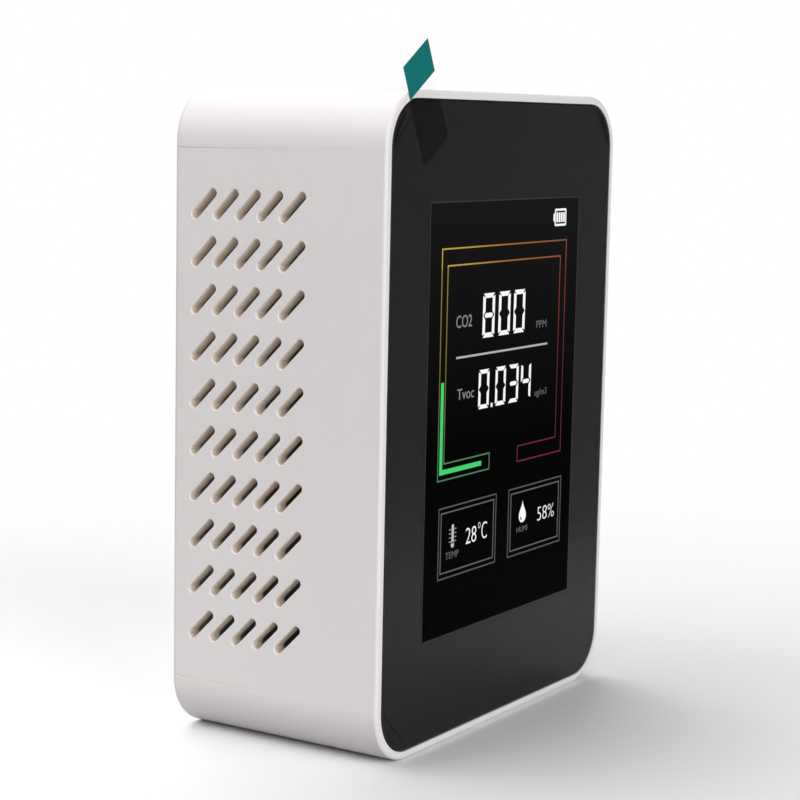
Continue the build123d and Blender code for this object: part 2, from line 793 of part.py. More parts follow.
def lead(side):
    """Battery lead from the seal under the cell to the top of the plug."""
    top_z = battery_bottom_z - seal_h
    end_z = power_top_z + header_wall + plug_h
    x = side * lead_half_pitch
    points = [(x, battery_mid_y, top_z), (x, battery_mid_y, top_z - lead_bend_start),
              (x, header_y, top_z - lead_bend_end), (x, header_y, end_z)]
    path = FilletPolyline(*points, radius=lead_bend_r)
    return sweep(Plane(origin=path @ 0, z_dir=path % 0) * Circle(lead_r), path=path)


def make_inductor():
    core = block(inductor_side, inductor_side, inductor_t, inductor_x,
                 power_front_y + inductor_from_front, power_top_z)
    return fillet(core.edges().filter_by(Axis.Z), inductor_corner_r)


def make_header_and_plug():
    header = block(header_w, header_d, header_h, 0, header_y, power_top_z)
    pocket_w = header_w - 2 * header_wall
    pocket_d = header_d - 2 * header_wall
    header -= block(pocket_w, pocket_d, header_h, 0, header_y,
                    power_top_z + header_wall)
    plug = block(pocket_w - 2 * plug_gap, pocket_d - 2 * plug_gap, plug_h, 0, header_y,
                 power_top_z + header_wall)
    return header, chamfer(plug.edges().filter_by(Axis.Z), plug_edge)


# ---------------------------------------------------------------- link between the boards

def make_link_parts():
    main_z = board_bottom_z + link_above_edge
    main_socket = Pos(link_x, board_back_y + link_socket_t / 2, main_z + link_socket_l / 2)
    main_socket = main_socket * Box(link_socket_w, link_socket_t, link_socket_l)
    power_socket = block(link_socket_w, link_socket_l, link_socket_t, link_x,
                         power_front_y + link_socket_from_front + link_socket_l / 2,
                         power_top_z)
    cable_y = board_back_y + link_socket_t / 2
    cable_z = power_top_z + link_socket_t / 2
    end_y = power_front_y + link_socket_from_front
    bend_r = link_bend_share * (end_y - cable_y)
    cable = ribbon([(cable_y, main_z), (cable_y, cable_z), (end_y, cable_z)],
                   bend_r, link_w, link_t, link_x)
    return main_socket, power_socket, cable


# ---------------------------------------------------------------- assembly

co2_board, co2_chamber, co2_filter, co2_pins = make_co2_parts()
voc_base, voc_cap = make_voc_parts()
humidity_case, humidity_pins = make_humidity_parts()
switch_body, switch_plunger = make_switch_parts()
usb_shell, usb_tongue = make_usb_parts()
battery_header, battery_plug = make_header_and_plug()
main_link_socket, power_link_socket, link_cable = make_link_parts()

adhesive_w = recess_w - 2 * panel_adhesive_inset
adhesive_h = recess_h - 2 * panel_adhesive_inset
adhesive_hole_gap = aperture_gap + panel_adhesive_hole_gap
fpc_z = board_bottom_z + fpc_above_edge + fpc_h / 2

nodes = {
    "housing": make_housing(),
    "front_panel": make_front_panel(),
    "protective_film": make_protective_film(),
    "pull_tab": strip_part(-strip_tab_length, 0),
    "clear_tape": strip_part(0, strip_clear_length),
    "panel_adhesive": frame_plate(
        adhesive_w, adhesive_h, mid_z, lcd_w + 2 * adhesive_hole_gap,
        lcd_h + 2 * adhesive_hole_gap, lcd_mid_z, recess_corner_r - panel_adhesive_inset,
        panel_back_y, ledge_front_y),
    "lcd_gasket": frame_plate(
        lcd_gasket_w, lcd_h - 2 * lcd_gasket_end_gap, lcd_mid_z,
        window_w + 2 * lcd_gasket_window_gap, window_h + 2 * lcd_gasket_window_gap, window_z,
        lcd_corner_r, panel_back_y, bezel_front_y),
    "lcd_bezel": make_lcd_bezel(),
    "lcd_glass": plate(lcd_inner_w, lcd_inner_h, lcd_glass_corner_r,
                       glass_front_y, backlight_front_y, z=lcd_mid_z),
    "lcd_backlight": plate(lcd_inner_w, lcd_inner_h, lcd_glass_corner_r,
                           backlight_front_y, lcd_back_y, z=lcd_mid_z),
    "lcd_flex": ribbon(flex_path(), flex_loop_r, flex_w, flex_t, 0.0),
    "lcd_connector": Pos(0, board_back_y + fpc_t / 2, fpc_z) * Box(fpc_w, fpc_t, fpc_h),
    "lcd_pad": plate(lcd_pad_w, lcd_pad_h, pad_corner_r, lcd_back_y, board_front_y,
                     z=lcd_mid_z),
    "main_board": make_main_board(),
    "board_screws": make_board_screws(),
    "microcontroller": leaded_chip(
        mcu_side, mcu_t, mid_z + mcu_above_middle, mcu_legs, mcu_leg_w),
    "flash_chip": leaded_chip(
        flash_side, flash_t, mid_z - flash_below_middle, flash_legs, flash_leg_w),
    "buzzer": make_buzzer(),
    "co2_board": co2_board,
    "co2_chamber": co2_chamber,
    "co2_filter": co2_filter,
    "co2_pins": co2_pins,
    "voc_base": voc_base,
    "voc_cap": voc_cap,
    "humidity_case": humidity_case,
    "humidity_pins": humidity_pins,
    "battery": make_battery(),
    "battery_pad": plate(
        battery_w - 2 * battery_pad_inset, battery_h - 2 * battery_pad_inset, pad_corner_r,
        battery_back_y, cover_front_y, z=battery_mid_z),
    "battery_lead_red": lead(1),
    "battery_lead_black": lead(-1),
    "battery_plug": battery_plug,
    "battery_header": battery_header,
    "power_board": make_power_board(),
    "power_board_screws": make_power_board_screws(),
    "charger_chip": block(charger_w, charger_d, charger_t, charger_x,
                          power_front_y + charger_from_front, power_top_z),
    "inductor": make_inductor(),
    "usb_shell": usb_shell,
    "usb_tongue": usb_tongue,
    "switch_body": switch_body,
    "switch_plunger": switch_plunger,
    "power_button": make_power_button(),
    "main_link_socket": main_link_socket,
    "power_link_socket": power_link_socket,
    "link_cable": link_cable,
    "rear_cover": make_rear_cover(),
    "cover_screws": make_cover_screws(),
}

os.makedirs("parts", exist_ok=True)
for name, shape in nodes.items():
    if isinstance(shape, list):
        shape = Compound(children=shape)
    export_step(shape, f"parts/{name}.step")
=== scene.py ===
"""Air quality monitor: finishes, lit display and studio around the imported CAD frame.

Metres, in the CAD frame: the front faces -Y, +Z is up, +X is on the right when the front is seen.
"""

from math import cos, pi, radians, sin, sqrt

import bpy
from mathutils import Matrix, Quaternion, Vector


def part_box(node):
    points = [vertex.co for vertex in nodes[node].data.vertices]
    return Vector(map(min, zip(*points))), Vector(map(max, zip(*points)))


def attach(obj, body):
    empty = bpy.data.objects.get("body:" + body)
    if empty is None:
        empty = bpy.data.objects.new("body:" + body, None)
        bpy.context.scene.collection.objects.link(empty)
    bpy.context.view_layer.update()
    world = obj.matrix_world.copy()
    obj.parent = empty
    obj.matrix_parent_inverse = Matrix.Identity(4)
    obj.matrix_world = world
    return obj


MM = 0.001

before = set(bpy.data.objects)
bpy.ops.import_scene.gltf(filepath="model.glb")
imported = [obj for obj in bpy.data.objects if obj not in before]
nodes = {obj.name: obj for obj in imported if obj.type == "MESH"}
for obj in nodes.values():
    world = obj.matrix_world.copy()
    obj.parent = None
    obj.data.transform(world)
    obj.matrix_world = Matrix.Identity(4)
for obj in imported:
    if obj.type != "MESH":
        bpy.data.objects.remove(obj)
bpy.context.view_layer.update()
panel_low, panel_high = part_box("front_panel")
face_y = panel_low.y

# The display shows through a clear window in the panel, set a little above the panel's middle.
SCREEN_HALF_W = 26.0
SCREEN_HALF_H = 36.9
SCREEN_RAISED = 0.3 * MM
screen_z = (panel_low.z + panel_high.z) / 2 + SCREEN_RAISED

# ------------------------------------------------------------------ small helpers


def linear(hex_colour):
    """An sRGB hex colour as linear RGBA."""
    levels = [int(hex_colour[i:i + 2], 16) / 255 for i in (1, 3, 5)]
    return [c / 12.92 if c <= 0.04045 else ((c + 0.055) / 1.055) ** 2.4 for c in levels] + [1.0]


def add(tree, kind, links=None, **settings):
    """Add a node with its settings, and link or set its inputs. A node links its first output."""
    node = tree.nodes.new(kind)
    for name, value in settings.items():
        setattr(node, name, value)
    for socket, source in (links or {}).items():
        target = node.inputs[socket]
        if isinstance(source, bpy.types.Node):
            source = source.outputs[0]
        if isinstance(source, bpy.types.NodeSocket):
            tree.links.new(source, target)
        else:
            target.default_value = source
    return node


def new_material(name, **surface):
    """A material with one Principled surface. Keys are socket names with _ for a space."""
    material = bpy.data.materials.new(name)
    material.use_nodes = True
    tree = material.node_tree
    tree.nodes.clear()
    values = {key.replace("_", " "): value for key, value in surface.items()}
    shader = add(tree, "ShaderNodeBsdfPrincipled", values)
    add(tree, "ShaderNodeOutputMaterial", {"Surface": shader.outputs["BSDF"]})
    place = add(tree, "ShaderNodeTexCoord").outputs["Object"]
    return material, tree, shader, place


def link(tree, shader, **sources):
    """Link outputs to the shader's sockets, named with _ for a space."""
    for key, source in sources.items():
        tree.links.new(source, shader.inputs[key.replace("_", " ")])


def paint(material, *pieces):
    """Give these CAD nodes or pieces one material."""
    for piece in pieces:
        data = (nodes[piece] if isinstance(piece, str) else piece).data
        data.materials.clear()
        data.materials.append(material)


# ------------------------------------------------------------------ finishes


def moulded_plastic(name, colour, shade, roughness, grain_mm, depth_mm, **surface):
    """Injection-moulded plastic: the fine even grain of a textured tool, in two close shades."""
    material, tree, shader, place = new_material(name, Roughness=roughness, IOR=1.53, **surface)
    grain = add(tree, "ShaderNodeTexNoise",
                {"Vector": place, "Scale": 1 / (grain_mm * MM), "Detail": 3.0, "Roughness": 0.6})
    cloud = add(tree, "ShaderNodeTexNoise",
                {"Vector": place, "Scale": 1 / (22 * MM), "Detail": 2.0, "Roughness": 0.5})
    tone = add(tree, "ShaderNodeMix",
               {"Factor": cloud.outputs["Fac"], "A": linear(colour), "B": linear(shade)},
               data_type="RGBA")
    bump = add(tree, "ShaderNodeBump",
               {"Height": grain.outputs["Fac"], "Distance": depth_mm * MM, "Strength": 1.0})
    gloss = add(tree, "ShaderNodeMapRange",
                {"Value": grain.outputs["Fac"], "From Min": 0.3, "From Max": 0.7,
                 "To Min": roughness - 0.05, "To Max": roughness + 0.05})
    link(tree, shader, Base_Color=tone.outputs["Result"], Normal=bump.outputs["Normal"],
         Roughness=gloss.outputs["Result"])
    return material, tree, shader, place


# Where the air slots cut the sides, in mm: the skin on which the painted warm tint and glow of
# their walls start and are whole, as distances from the middle, and the limits along each axis.
SLOT_SKIN = (39.38, 39.2)
SLOT_LIMITS = (("Y", -8, "GREATER_THAN"), ("Y", 18.4, "LESS_THAN"),
               ("Z", 14, "GREATER_THAN"), ("Z", 97, "LESS_THAN"))
# Strength of the painted glow on the slot walls.
PAINTED_SLOT_GLOW = 0.025


# White ABS, moulded in a satin tool: soft sheen, and a painted warm tint and faint painted glow
# on the slot walls, standing in for light through the thin wall.
def satin_white_abs():
    material, tree, shader, place = moulded_plastic(
        "satin_white_abs", "#f4f0ef", "#f1edec", 0.46, 0.35, 0.009)
    tone = shader.inputs["Base Color"].links[0].from_socket
    axes = add(tree, "ShaderNodeSeparateXYZ", {"Vector": place}).outputs
    from_middle = add(tree, "ShaderNodeMath", {0: axes["X"]}, operation="ABSOLUTE")
    mask = add(tree, "ShaderNodeMapRange",
               {"Value": from_middle, "From Min": SLOT_SKIN[0] * MM,
                "From Max": SLOT_SKIN[1] * MM}).outputs[0]
    for axis, limit, side in SLOT_LIMITS:
        within = add(tree, "ShaderNodeMath", {0: axes[axis], 1: limit * MM}, operation=side)
        mask = add(tree, "ShaderNodeMath", {0: mask, 1: within}, operation="MULTIPLY").outputs[0]
    # Painted light on the slot walls: a warm tint and a faint emitted glow, standing in for light
    # through the thin plastic.
    painted_warm_slots = add(tree, "ShaderNodeMix", {"Factor": mask, "A": tone, "B": linear("#ebe0d4")},
               data_type="RGBA")
    painted_slot_glow = add(tree, "ShaderNodeMath", {0: mask, 1: PAINTED_SLOT_GLOW}, operation="MULTIPLY")
    shader.inputs["Emission Color"].default_value = linear("#ffeedd")
    link(tree, shader, Base_Color=painted_warm_slots.outputs["Result"], Emission_Strength=painted_slot_glow.outputs[0])
    return material


# Clear acrylic, printed black behind: glossy and deep, with a faint dust of grey in the ink.
def black_printed_acrylic():
    material, tree, shader, place = new_material(
        "black_printed_acrylic", Roughness=0.24, IOR=1.47)
    dust = add(tree, "ShaderNodeTexNoise",
               {"Vector": place, "Scale": 1 / (0.5 * MM), "Detail": 4.0})
    ink = add(tree, "ShaderNodeMix",
              {"Factor": dust.outputs["Fac"], "A": linear("#121213"), "B": linear("#161617")},
              data_type="RGBA")
    gloss = add(tree, "ShaderNodeMapRange",
                {"Value": dust.outputs["Fac"], "From Min": 0.3, "From Max": 0.7,
                 "To Min": 0.21, "To Max": 0.27})
    link(tree, shader, Base_Color=ink.outputs["Result"], Roughness=gloss.outputs["Result"])
    return material


SCREEN_SPECULAR = 0.005       # an anti-reflection coat takes most of the glare off the window


# Display seen through the clear window: near black, with a painted sheen that brightens towards
# the top.
def dark_display():
    material, tree, shader, place = new_material(
        "dark_display", Roughness=0.2, IOR=1.49, Specular_IOR_Level=SCREEN_SPECULAR,
        Emission_Strength=1.0)
    axes = add(tree, "ShaderNodeSeparateXYZ", {"Vector": place})
    # Painted sheen: emission that rises from near black to a faint grey towards the top of the
    # window.
    up = add(tree, "ShaderNodeMapRange",
             {"Value": axes.outputs["Z"], "From Min": screen_z - 5 * MM,
              "From Max": screen_z + SCREEN_HALF_H * MM, "To Min": 0.0, "To Max": 1.0})
    painted_sheen = add(tree, "ShaderNodeMix",
               {"Factor": up.outputs["Result"], "A": linear("#010101"),
                "B": linear("#161616")}, data_type="RGBA")
    haze = add(tree, "ShaderNodeTexNoise", {"Vector": place, "Scale": 1 / (15 * MM)})
    tone = add(tree, "ShaderNodeMix",
               {"Factor": haze.outputs["Fac"], "A": linear("#010101"), "B": linear("#030303")},
               data_type="RGBA")
    link(tree, shader, Base_Color=tone.outputs["Result"], Emission_Color=painted_sheen.outputs["Result"])
    return material


def clear_plastic(name, colour, alpha, roughness, ripple_mm, depth_mm):
    """Thin clear plastic film: mostly see-through, with a slight ripple in its reflection."""
    material, tree, shader, place = new_material(
        name, Base_Color=linear(colour), Alpha=alpha, Roughness=roughness, IOR=1.5)
    ripple = add(tree, "ShaderNodeTexNoise",
                 {"Vector": place, "Scale": 1 / (ripple_mm * MM), "Detail": 1.0})
    bump = add(tree, "ShaderNodeBump",
               {"Height": ripple.outputs["Fac"], "Distance": depth_mm * MM})
    link(tree, shader, Normal=bump.outputs["Normal"])
    return material


STRIP_LEAN = 24.7             # degrees that the pull strip leans away from upright


def pet_tape(name, colour, shade, roughness, over_panel=None, above=None):
    """PET tape: smooth, with fine streaks along the strip from its coating.

    Clear tape has two alphas: it shows dark where its glue wets the film, and barely above it.
    """
    material, tree, shader, place = new_material(
        name, Roughness=roughness, IOR=1.5, Specular_IOR_Level=0.25)
    along = add(tree, "ShaderNodeMapping",
                {"Vector": place, "Rotation": (0, radians(STRIP_LEAN), 0), "Scale": (1, 1, 0.05)})
    streak = add(tree, "ShaderNodeTexNoise",
                 {"Vector": along.outputs["Vector"], "Scale": 1 / (0.6 * MM), "Detail": 2.0})
    tone = add(tree, "ShaderNodeMix",
               {"Factor": streak.outputs["Fac"], "A": linear(colour), "B": linear(shade)},
               data_type="RGBA")
    bump = add(tree, "ShaderNodeBump",
               {"Height": streak.outputs["Fac"], "Distance": 0.01 * MM, "Strength": 0.4})
    link(tree, shader, Base_Color=tone.outputs["Result"], Normal=bump.outputs["Normal"])
    if over_panel is not None:
        height = add(tree, "ShaderNodeSeparateXYZ", {"Vector": place}).outputs["Z"]
        wetted = add(tree, "ShaderNodeMapRange",
                     {"Value": height, "From Min": panel_high.z - 0.1 * MM,
                      "From Max": panel_high.z + 0.1 * MM,
                      "To Min": over_panel, "To Max": above})
        link(tree, shader, Alpha=wetted.outputs["Result"])
    return material


def foam(name, colour, shade, cell_mm):
    """Closed-cell foam: matt, pitted with small cells."""
    material, tree, shader, place = new_material(name, Roughness=0.9, IOR=1.45)
    cells = add(tree, "ShaderNodeTexVoronoi", {"Vector": place, "Scale": 1 / (cell_mm * MM)})
    tone = add(tree, "ShaderNodeMix",
               {"Factor": cells.outputs["Distance"], "A": linear(shade), "B": linear(colour)},
               data_type="RGBA")
    bump = add(tree, "ShaderNodeBump",
               {"Height": cells.outputs["Distance"], "Distance": 0.12 * MM}, invert=True)
    link(tree, shader, Base_Color=tone.outputs["Result"], Normal=bump.outputs["Normal"])
    return material


def plated_metal(name, colour, roughness, brush_mm, stretch, depth_mm):
    """Plated or rolled metal: fine lines from rolling or tooling break up its reflection."""
    material, tree, shader, place = new_material(
        name, Base_Color=linear(colour), Metallic=1.0, Roughness=roughness)
    along = add(tree, "ShaderNodeMapping", {"Vector": place, "Scale": stretch})
    lines = add(tree, "ShaderNodeTexNoise",
                {"Vector": along.outputs["Vector"], "Scale": 1 / (brush_mm * MM), "Detail": 3.0})
    bump = add(tree, "ShaderNodeBump",
               {"Height": lines.outputs["Fac"], "Distance": depth_mm * MM, "Strength": 0.5})
    gloss = add(tree, "ShaderNodeMapRange",
                {"Value": lines.outputs["Fac"], "From Min": 0.3, "From Max": 0.7,
                 "To Min": roughness - 0.06, "To Max": roughness + 0.08})
    link(tree, shader, Normal=bump.outputs["Normal"], Roughness=gloss.outputs["Result"])
    return material


# Fibreglass board under green solder mask: tracks show as lighter lines, vias as gold dots.
def green_solder_mask():
    material, tree, shader, place = new_material(
        "green_solder_mask", Roughness=0.32, IOR=1.5, Coat_Weight=0.4, Coat_Roughness=0.2)
    flat = add(tree, "ShaderNodeMapping", {"Vector": place, "Scale": (1, 0, 1)})
    laid = add(tree, "ShaderNodeMapping", {"Vector": place, "Rotation": (radians(90), 0, 0)})
    tracks = add(tree, "ShaderNodeTexBrick",
                 {"Vector": laid.outputs["Vector"],
                  "Color1": linear("#0f5a34"), "Color2": linear("#0c4f2d"),
                  "Mortar": linear("#1c7a49"), "Scale": 1 / (9 * MM), "Mortar Size": 0.025,
                  "Brick Width": 0.8, "Row Height": 0.14})
    vias = add(tree, "ShaderNodeTexVoronoi",
               {"Vector": flat.outputs["Vector"], "Scale": 1 / (4.2 * MM), "Randomness": 0.8})
    gold = add(tree, "ShaderNodeMapRange",
               {"Value": vias.outputs["Distance"], "From Min": 0.075, "From Max": 0.06})
    tone = add(tree, "ShaderNodeMix",
               {"Factor": gold.outputs["Result"], "A": tracks.outputs["Color"],
                "B": linear("#c9a24c")}, data_type="RGBA")
    bump = add(tree, "ShaderNodeBump",
               {"Height": tracks.outputs["Fac"], "Distance": 0.035 * MM})
    link(tree, shader, Base_Color=tone.outputs["Result"], Metallic=gold.outputs["Result"],
         Normal=bump.outputs["Normal"])
    return material


POUCH_TAPE_MM = 6.0           # amber tape covers this much of the pouch's lower end


# Aluminium-polymer pouch: a soft silver sheen, creased where the foil is drawn over the cell, and
# the warm brown of polyimide tape at its lower end.
def aluminium_pouch():
    material, tree, shader, place = new_material(
        "aluminium_pouch", Metallic=0.85, Roughness=0.34)
    crease = add(tree, "ShaderNodeTexNoise",
                 {"Vector": place, "Scale": 1 / (7 * MM), "Detail": 5.0, "Roughness": 0.45,
                  "Distortion": 0.6})
    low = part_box("battery")[0].z
    axes = add(tree, "ShaderNodeSeparateXYZ", {"Vector": place})
    tape = add(tree, "ShaderNodeMapRange",
               {"Value": axes.outputs["Z"], "From Min": low + (POUCH_TAPE_MM + 0.1) * MM,
                "From Max": low + (POUCH_TAPE_MM - 0.1) * MM})
    tone = add(tree, "ShaderNodeMix",
               {"Factor": tape.outputs["Result"], "A": linear("#b9babb"),
                "B": linear("#b5742a")}, data_type="RGBA")
    metal = add(tree, "ShaderNodeMapRange",
                {"Value": tape.outputs["Result"], "To Min": 0.85, "To Max": 0.1})
    bump = add(tree, "ShaderNodeBump",
               {"Height": crease.outputs["Fac"], "Distance": 0.35 * MM, "Strength": 0.7})
    link(tree, shader, Base_Color=tone.outputs["Result"], Metallic=metal.outputs["Result"],
         Normal=bump.outputs["Normal"])
    return material


# Display glass: dark polariser over the cell, smooth and faintly violet.
def polariser_glass():
    material, tree, shader, place = new_material(
        "polariser_glass", Roughness=0.12, IOR=1.5, Coat_Weight=0.5, Coat_Roughness=0.05)
    film = add(tree, "ShaderNodeTexNoise", {"Vector": place, "Scale": 1 / (14 * MM)})
    tone = add(tree, "ShaderNodeMix",
               {"Factor": film.outputs["Fac"], "A": linear("#0b0a10"), "B": linear("#121019")},
               data_type="RGBA")
    link(tree, shader, Base_Color=tone.outputs["Result"])
    return material


paint(satin_white_abs(), "housing", "rear_cover", "power_button")
paint(black_printed_acrylic(), "front_panel")
# Clear PET film: all but invisible, and its ripple softens the panel's reflections.
paint(clear_plastic("clear_pet_film", "#101214", 0.015, 0.35, 9, 0.01), "protective_film")
# Printed teal PET, half matt: an even colour, a little streaked along the strip.
paint(pet_tape("teal_pet_tape", "#037a79", "#027070", 0.55), "pull_tab")
# Clear PET with acrylic glue: a darker, duller band on the black panel.
paint(pet_tape("clear_pet_tape", "#0c0b0f", "#121115", 0.5, 0.28, 0.01), "clear_tape")
# Polyethylene foam tape, black: swallows the light between the parts.
paint(foam("black_adhesive_foam", "#1b1b1c", "#0c0c0c", 0.35), "panel_adhesive", "lcd_gasket")
# Acrylic foam tape, white: chalky and dull.
paint(foam("white_mounting_foam", "#dcdbd6", "#b9b7b0", 0.4), "lcd_pad", "battery_pad")
# Cold-rolled stainless sheet: grey, with its reflection drawn out along the rolling lines.
paint(plated_metal("rolled_bezel_steel", "#a9abad", 0.32, 0.25, (1, 1, 0.05), 0.006),
      "lcd_bezel")
paint(polariser_glass(), "lcd_glass")
paint(green_solder_mask(), "main_board", "power_board", "co2_board")
# Zinc-plated steel screws: bluish grey, a little uneven from the barrel plating.
paint(plated_metal("zinc_plated_steel", "#b9bbbd", 0.28, 0.2, (1, 1, 1), 0.008),
      "board_screws", "power_board_screws", "cover_screws")
# Gold-plated brass, drawn to a box: warm and bright, for its infrared reflection.
paint(plated_metal("gold_plated_chamber", "#d8ae5c", 0.24, 0.3, (1, 1, 0.2), 0.006),
      "co2_chamber")
# Brass pins under a gold flash: warm, with lines around them from the drawing die.
paint(plated_metal("gold_flashed_brass", "#d6ad58", 0.26, 0.1, (1, 0.1, 1), 0.004),
      "co2_pins", "humidity_pins")
# Nickel can, deep-drawn: a warm grey, bright along the lines of the draw.
paint(plated_metal("nickel_can", "#c3bfb6", 0.22, 0.2, (1, 0.05, 1), 0.005), "voc_cap")
# Stamped stainless steel of the socket: cool grey, a little duller than the screws.
paint(plated_metal("socket_steel", "#b7b9ba", 0.3, 0.25, (1, 0.05, 1), 0.006), "usb_shell")
paint(aluminium_pouch(), "battery")

# Moulded, extruded and sintered parts: name, two shades, roughness, grain and its depth in mm.
for finish, parts in (
        # Acrylic, polished: milky from the dots that spread the light.
        (("milky_light_guide", "#e9edf0", "#dfe5ea", 0.3, 0.5, 0.002), ["lcd_backlight"]),
        # Polyimide film over copper: clear amber with a smooth sheen.
        (("amber_polyimide", "#a8641b", "#955514", 0.3, 0.8, 0.003), ["lcd_flex"]),
        # Unfilled nylon, moulded: ivory, half matt.
        (("ivory_nylon", "#d9d1bd", "#cec5ae", 0.5, 0.25, 0.004),
         ["lcd_connector", "main_link_socket", "power_link_socket"]),
        # Laminated PET ribbon: a plain cool white.
        (("white_ribbon_pet", "#e8e8e6", "#dcdcda", 0.4, 0.6, 0.003), ["link_cable"]),
        # Filled epoxy, moulded: matt black with the fine sparkle of its filler.
        (("black_chip_epoxy", "#1a1a1b", "#141415", 0.55, 0.15, 0.006),
         ["microcontroller", "flash_chip", "charger_chip"]),
        # Moulded nylon shell: black, a touch glossier than the chips.
        (("black_buzzer_shell", "#161617", "#101011", 0.42, 0.3, 0.004), ["buzzer"]),
        # Stretched fluoropolymer: paper white and fully matt.
        (("white_filter_membrane", "#eeeeec", "#dededb", 0.85, 0.12, 0.02), ["co2_filter"]),
        # Glass-filled nylon, moulded: charcoal, half matt.
        (("black_nylon", "#1c1c1d", "#151516", 0.5, 0.25, 0.004),
         ["voc_base", "switch_body", "usb_tongue", "switch_plunger"]),
        # Nylon, moulded: a warm white against the boards.
        (("white_nylon", "#eceae5", "#e0deda", 0.5, 0.25, 0.005),
         ["humidity_case", "battery_plug", "battery_header"]),
        # Silicone insulation, extruded: strong colour with a soft gloss along the lead.
        (("red_silicone_lead", "#b3181a", "#9f1416", 0.45, 0.5, 0.004), ["battery_lead_red"]),
        (("black_silicone_lead", "#161616", "#1e1e1e", 0.45, 0.5, 0.004),
         ["battery_lead_black"]),
        # Sintered ferrite: dark grey, dry and slightly grainy.
        (("sintered_ferrite", "#2e2f31", "#26272a", 0.6, 0.12, 0.012), ["inductor"])):
    paint(moulded_plastic(*finish)[0], *parts)

# ------------------------------------------------------------------ lit display

LIGHT_T = 0.03 * MM           # thickness of the lit shapes
WINDOW_T = 0.03 * MM          # thickness of the dark display that carries them
SINK = 0.01 * MM              # the lit shapes sink this far into it
LIGHT_BACK_Y = face_y - WINDOW_T + SINK
CELL_SHADE = 0.94             # the darkest cells of a lit shape, against its own colour

# The gauge, in screen mm: left, right, foot and top of its two paths, and its two ends.
GAUGE_OUT = (-22.0, 21.5, -9.85, 29.15)
GAUGE_IN = (-20.1, 19.35, -7.05, 26.3)
GAUGE_ENDS = (-4.8, 5.2)
# Where its colours run: the heights of the first and the last stop, the split between the left
# and the right side, and the height from which it runs across.
GAUGE_RUN = (-10, 29)
GAUGE_SPLIT = 0.2
GAUGE_ACROSS = 25.9


def lit_colour(name, colour):
    """One colour of light from the display, even but for its cells, under the window's gloss."""
    material, tree, shader, place = new_material(
        name, Base_Color=linear("#030303"), Roughness=0.2, IOR=1.49,
        Specular_IOR_Level=SCREEN_SPECULAR, Emission_Strength=1.0)
    cell = add(tree, "ShaderNodeTexNoise", {"Vector": place, "Scale": 1 / (0.4 * MM)})
    tone = add(tree, "ShaderNodeMix",
               {"Factor": cell.outputs["Fac"], "A": linear(colour),
                "B": [c * CELL_SHADE for c in linear(colour)[:3]] + [1.0]}, data_type="RGBA")
    link(tree, shader, Emission_Color=tone.outputs["Result"])
    return material


def lit_gauge(name, stops_left, stops_top, stops_right):
    """Gauge line that runs from green, up through yellow, across to orange, and down to red."""
    material, tree, shader, place = new_material(
        name, Base_Color=linear("#030303"), Roughness=0.2, IOR=1.49,
        Specular_IOR_Level=SCREEN_SPECULAR, Emission_Strength=1.0)
    axes = add(tree, "ShaderNodeSeparateXYZ", {"Vector": place})
    height = add(tree, "ShaderNodeMapRange",
                 {"Value": axes.outputs["Z"], "From Min": screen_z + GAUGE_RUN[0] * MM,
                  "From Max": screen_z + GAUGE_RUN[1] * MM})
    width = add(tree, "ShaderNodeMapRange",
                {"Value": axes.outputs["X"], "From Min": GAUGE_OUT[0] * MM,
                 "From Max": GAUGE_OUT[1] * MM})
    ramps = []
    for source, stops in ((height, stops_left), (width, stops_top), (height, stops_right)):
        ramp = add(tree, "ShaderNodeValToRGB", {"Fac": source.outputs["Result"]})
        while len(ramp.color_ramp.elements) < len(stops):
            ramp.color_ramp.elements.new(0.5)
        for element, (at, colour) in zip(ramp.color_ramp.elements, stops):
            element.position = at
            element.color = linear(colour)
        ramps.append(ramp.outputs["Color"])
    on_right = add(tree, "ShaderNodeMath",
                   {0: axes.outputs["X"], 1: GAUGE_SPLIT * MM}, operation="GREATER_THAN")
    sides = add(tree, "ShaderNodeMix",
                {"Factor": on_right, "A": ramps[0], "B": ramps[2]}, data_type="RGBA")
    on_top = add(tree, "ShaderNodeMath",
                 {0: axes.outputs["Z"], 1: screen_z + GAUGE_ACROSS * MM}, operation="GREATER_THAN")
    whole = add(tree, "ShaderNodeMix",
                {"Factor": on_top, "A": sides.outputs["Result"], "B": ramps[1]},
                data_type="RGBA")
    link(tree, shader, Emission_Color=whole.outputs["Result"])
    return material


def on_screen(x_mm, z_mm, lift=0.0):
    """A point of the display's face, in mm right of and above the middle of the window."""
    return Vector((x_mm * MM, LIGHT_BACK_Y - lift, screen_z + z_mm * MM))


def show(piece, body="monitor"):
    """A finished piece rides on its body."""
    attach(piece, body)
    return piece


def plain_mesh(source, name, place=None):
    """The evaluated shape of an object as a plain mesh piece at the origin."""
    bpy.context.view_layer.update()
    graph = bpy.context.evaluated_depsgraph_get()
    mesh = bpy.data.meshes.new_from_object(source.evaluated_get(graph))
    bpy.data.objects.remove(source)
    mesh.name = name
    if place is not None:
        mesh.transform(place)
    piece = bpy.data.objects.new(name, mesh)
    bpy.context.scene.collection.objects.link(piece)
    return piece


# Turns a flat drawing upright, so that it faces the front.
STAND_UP = Matrix(((1, 0, 0, 0), (0, 0, -1, 0), (0, 1, 0, 0), (0, 0, 0, 1)))


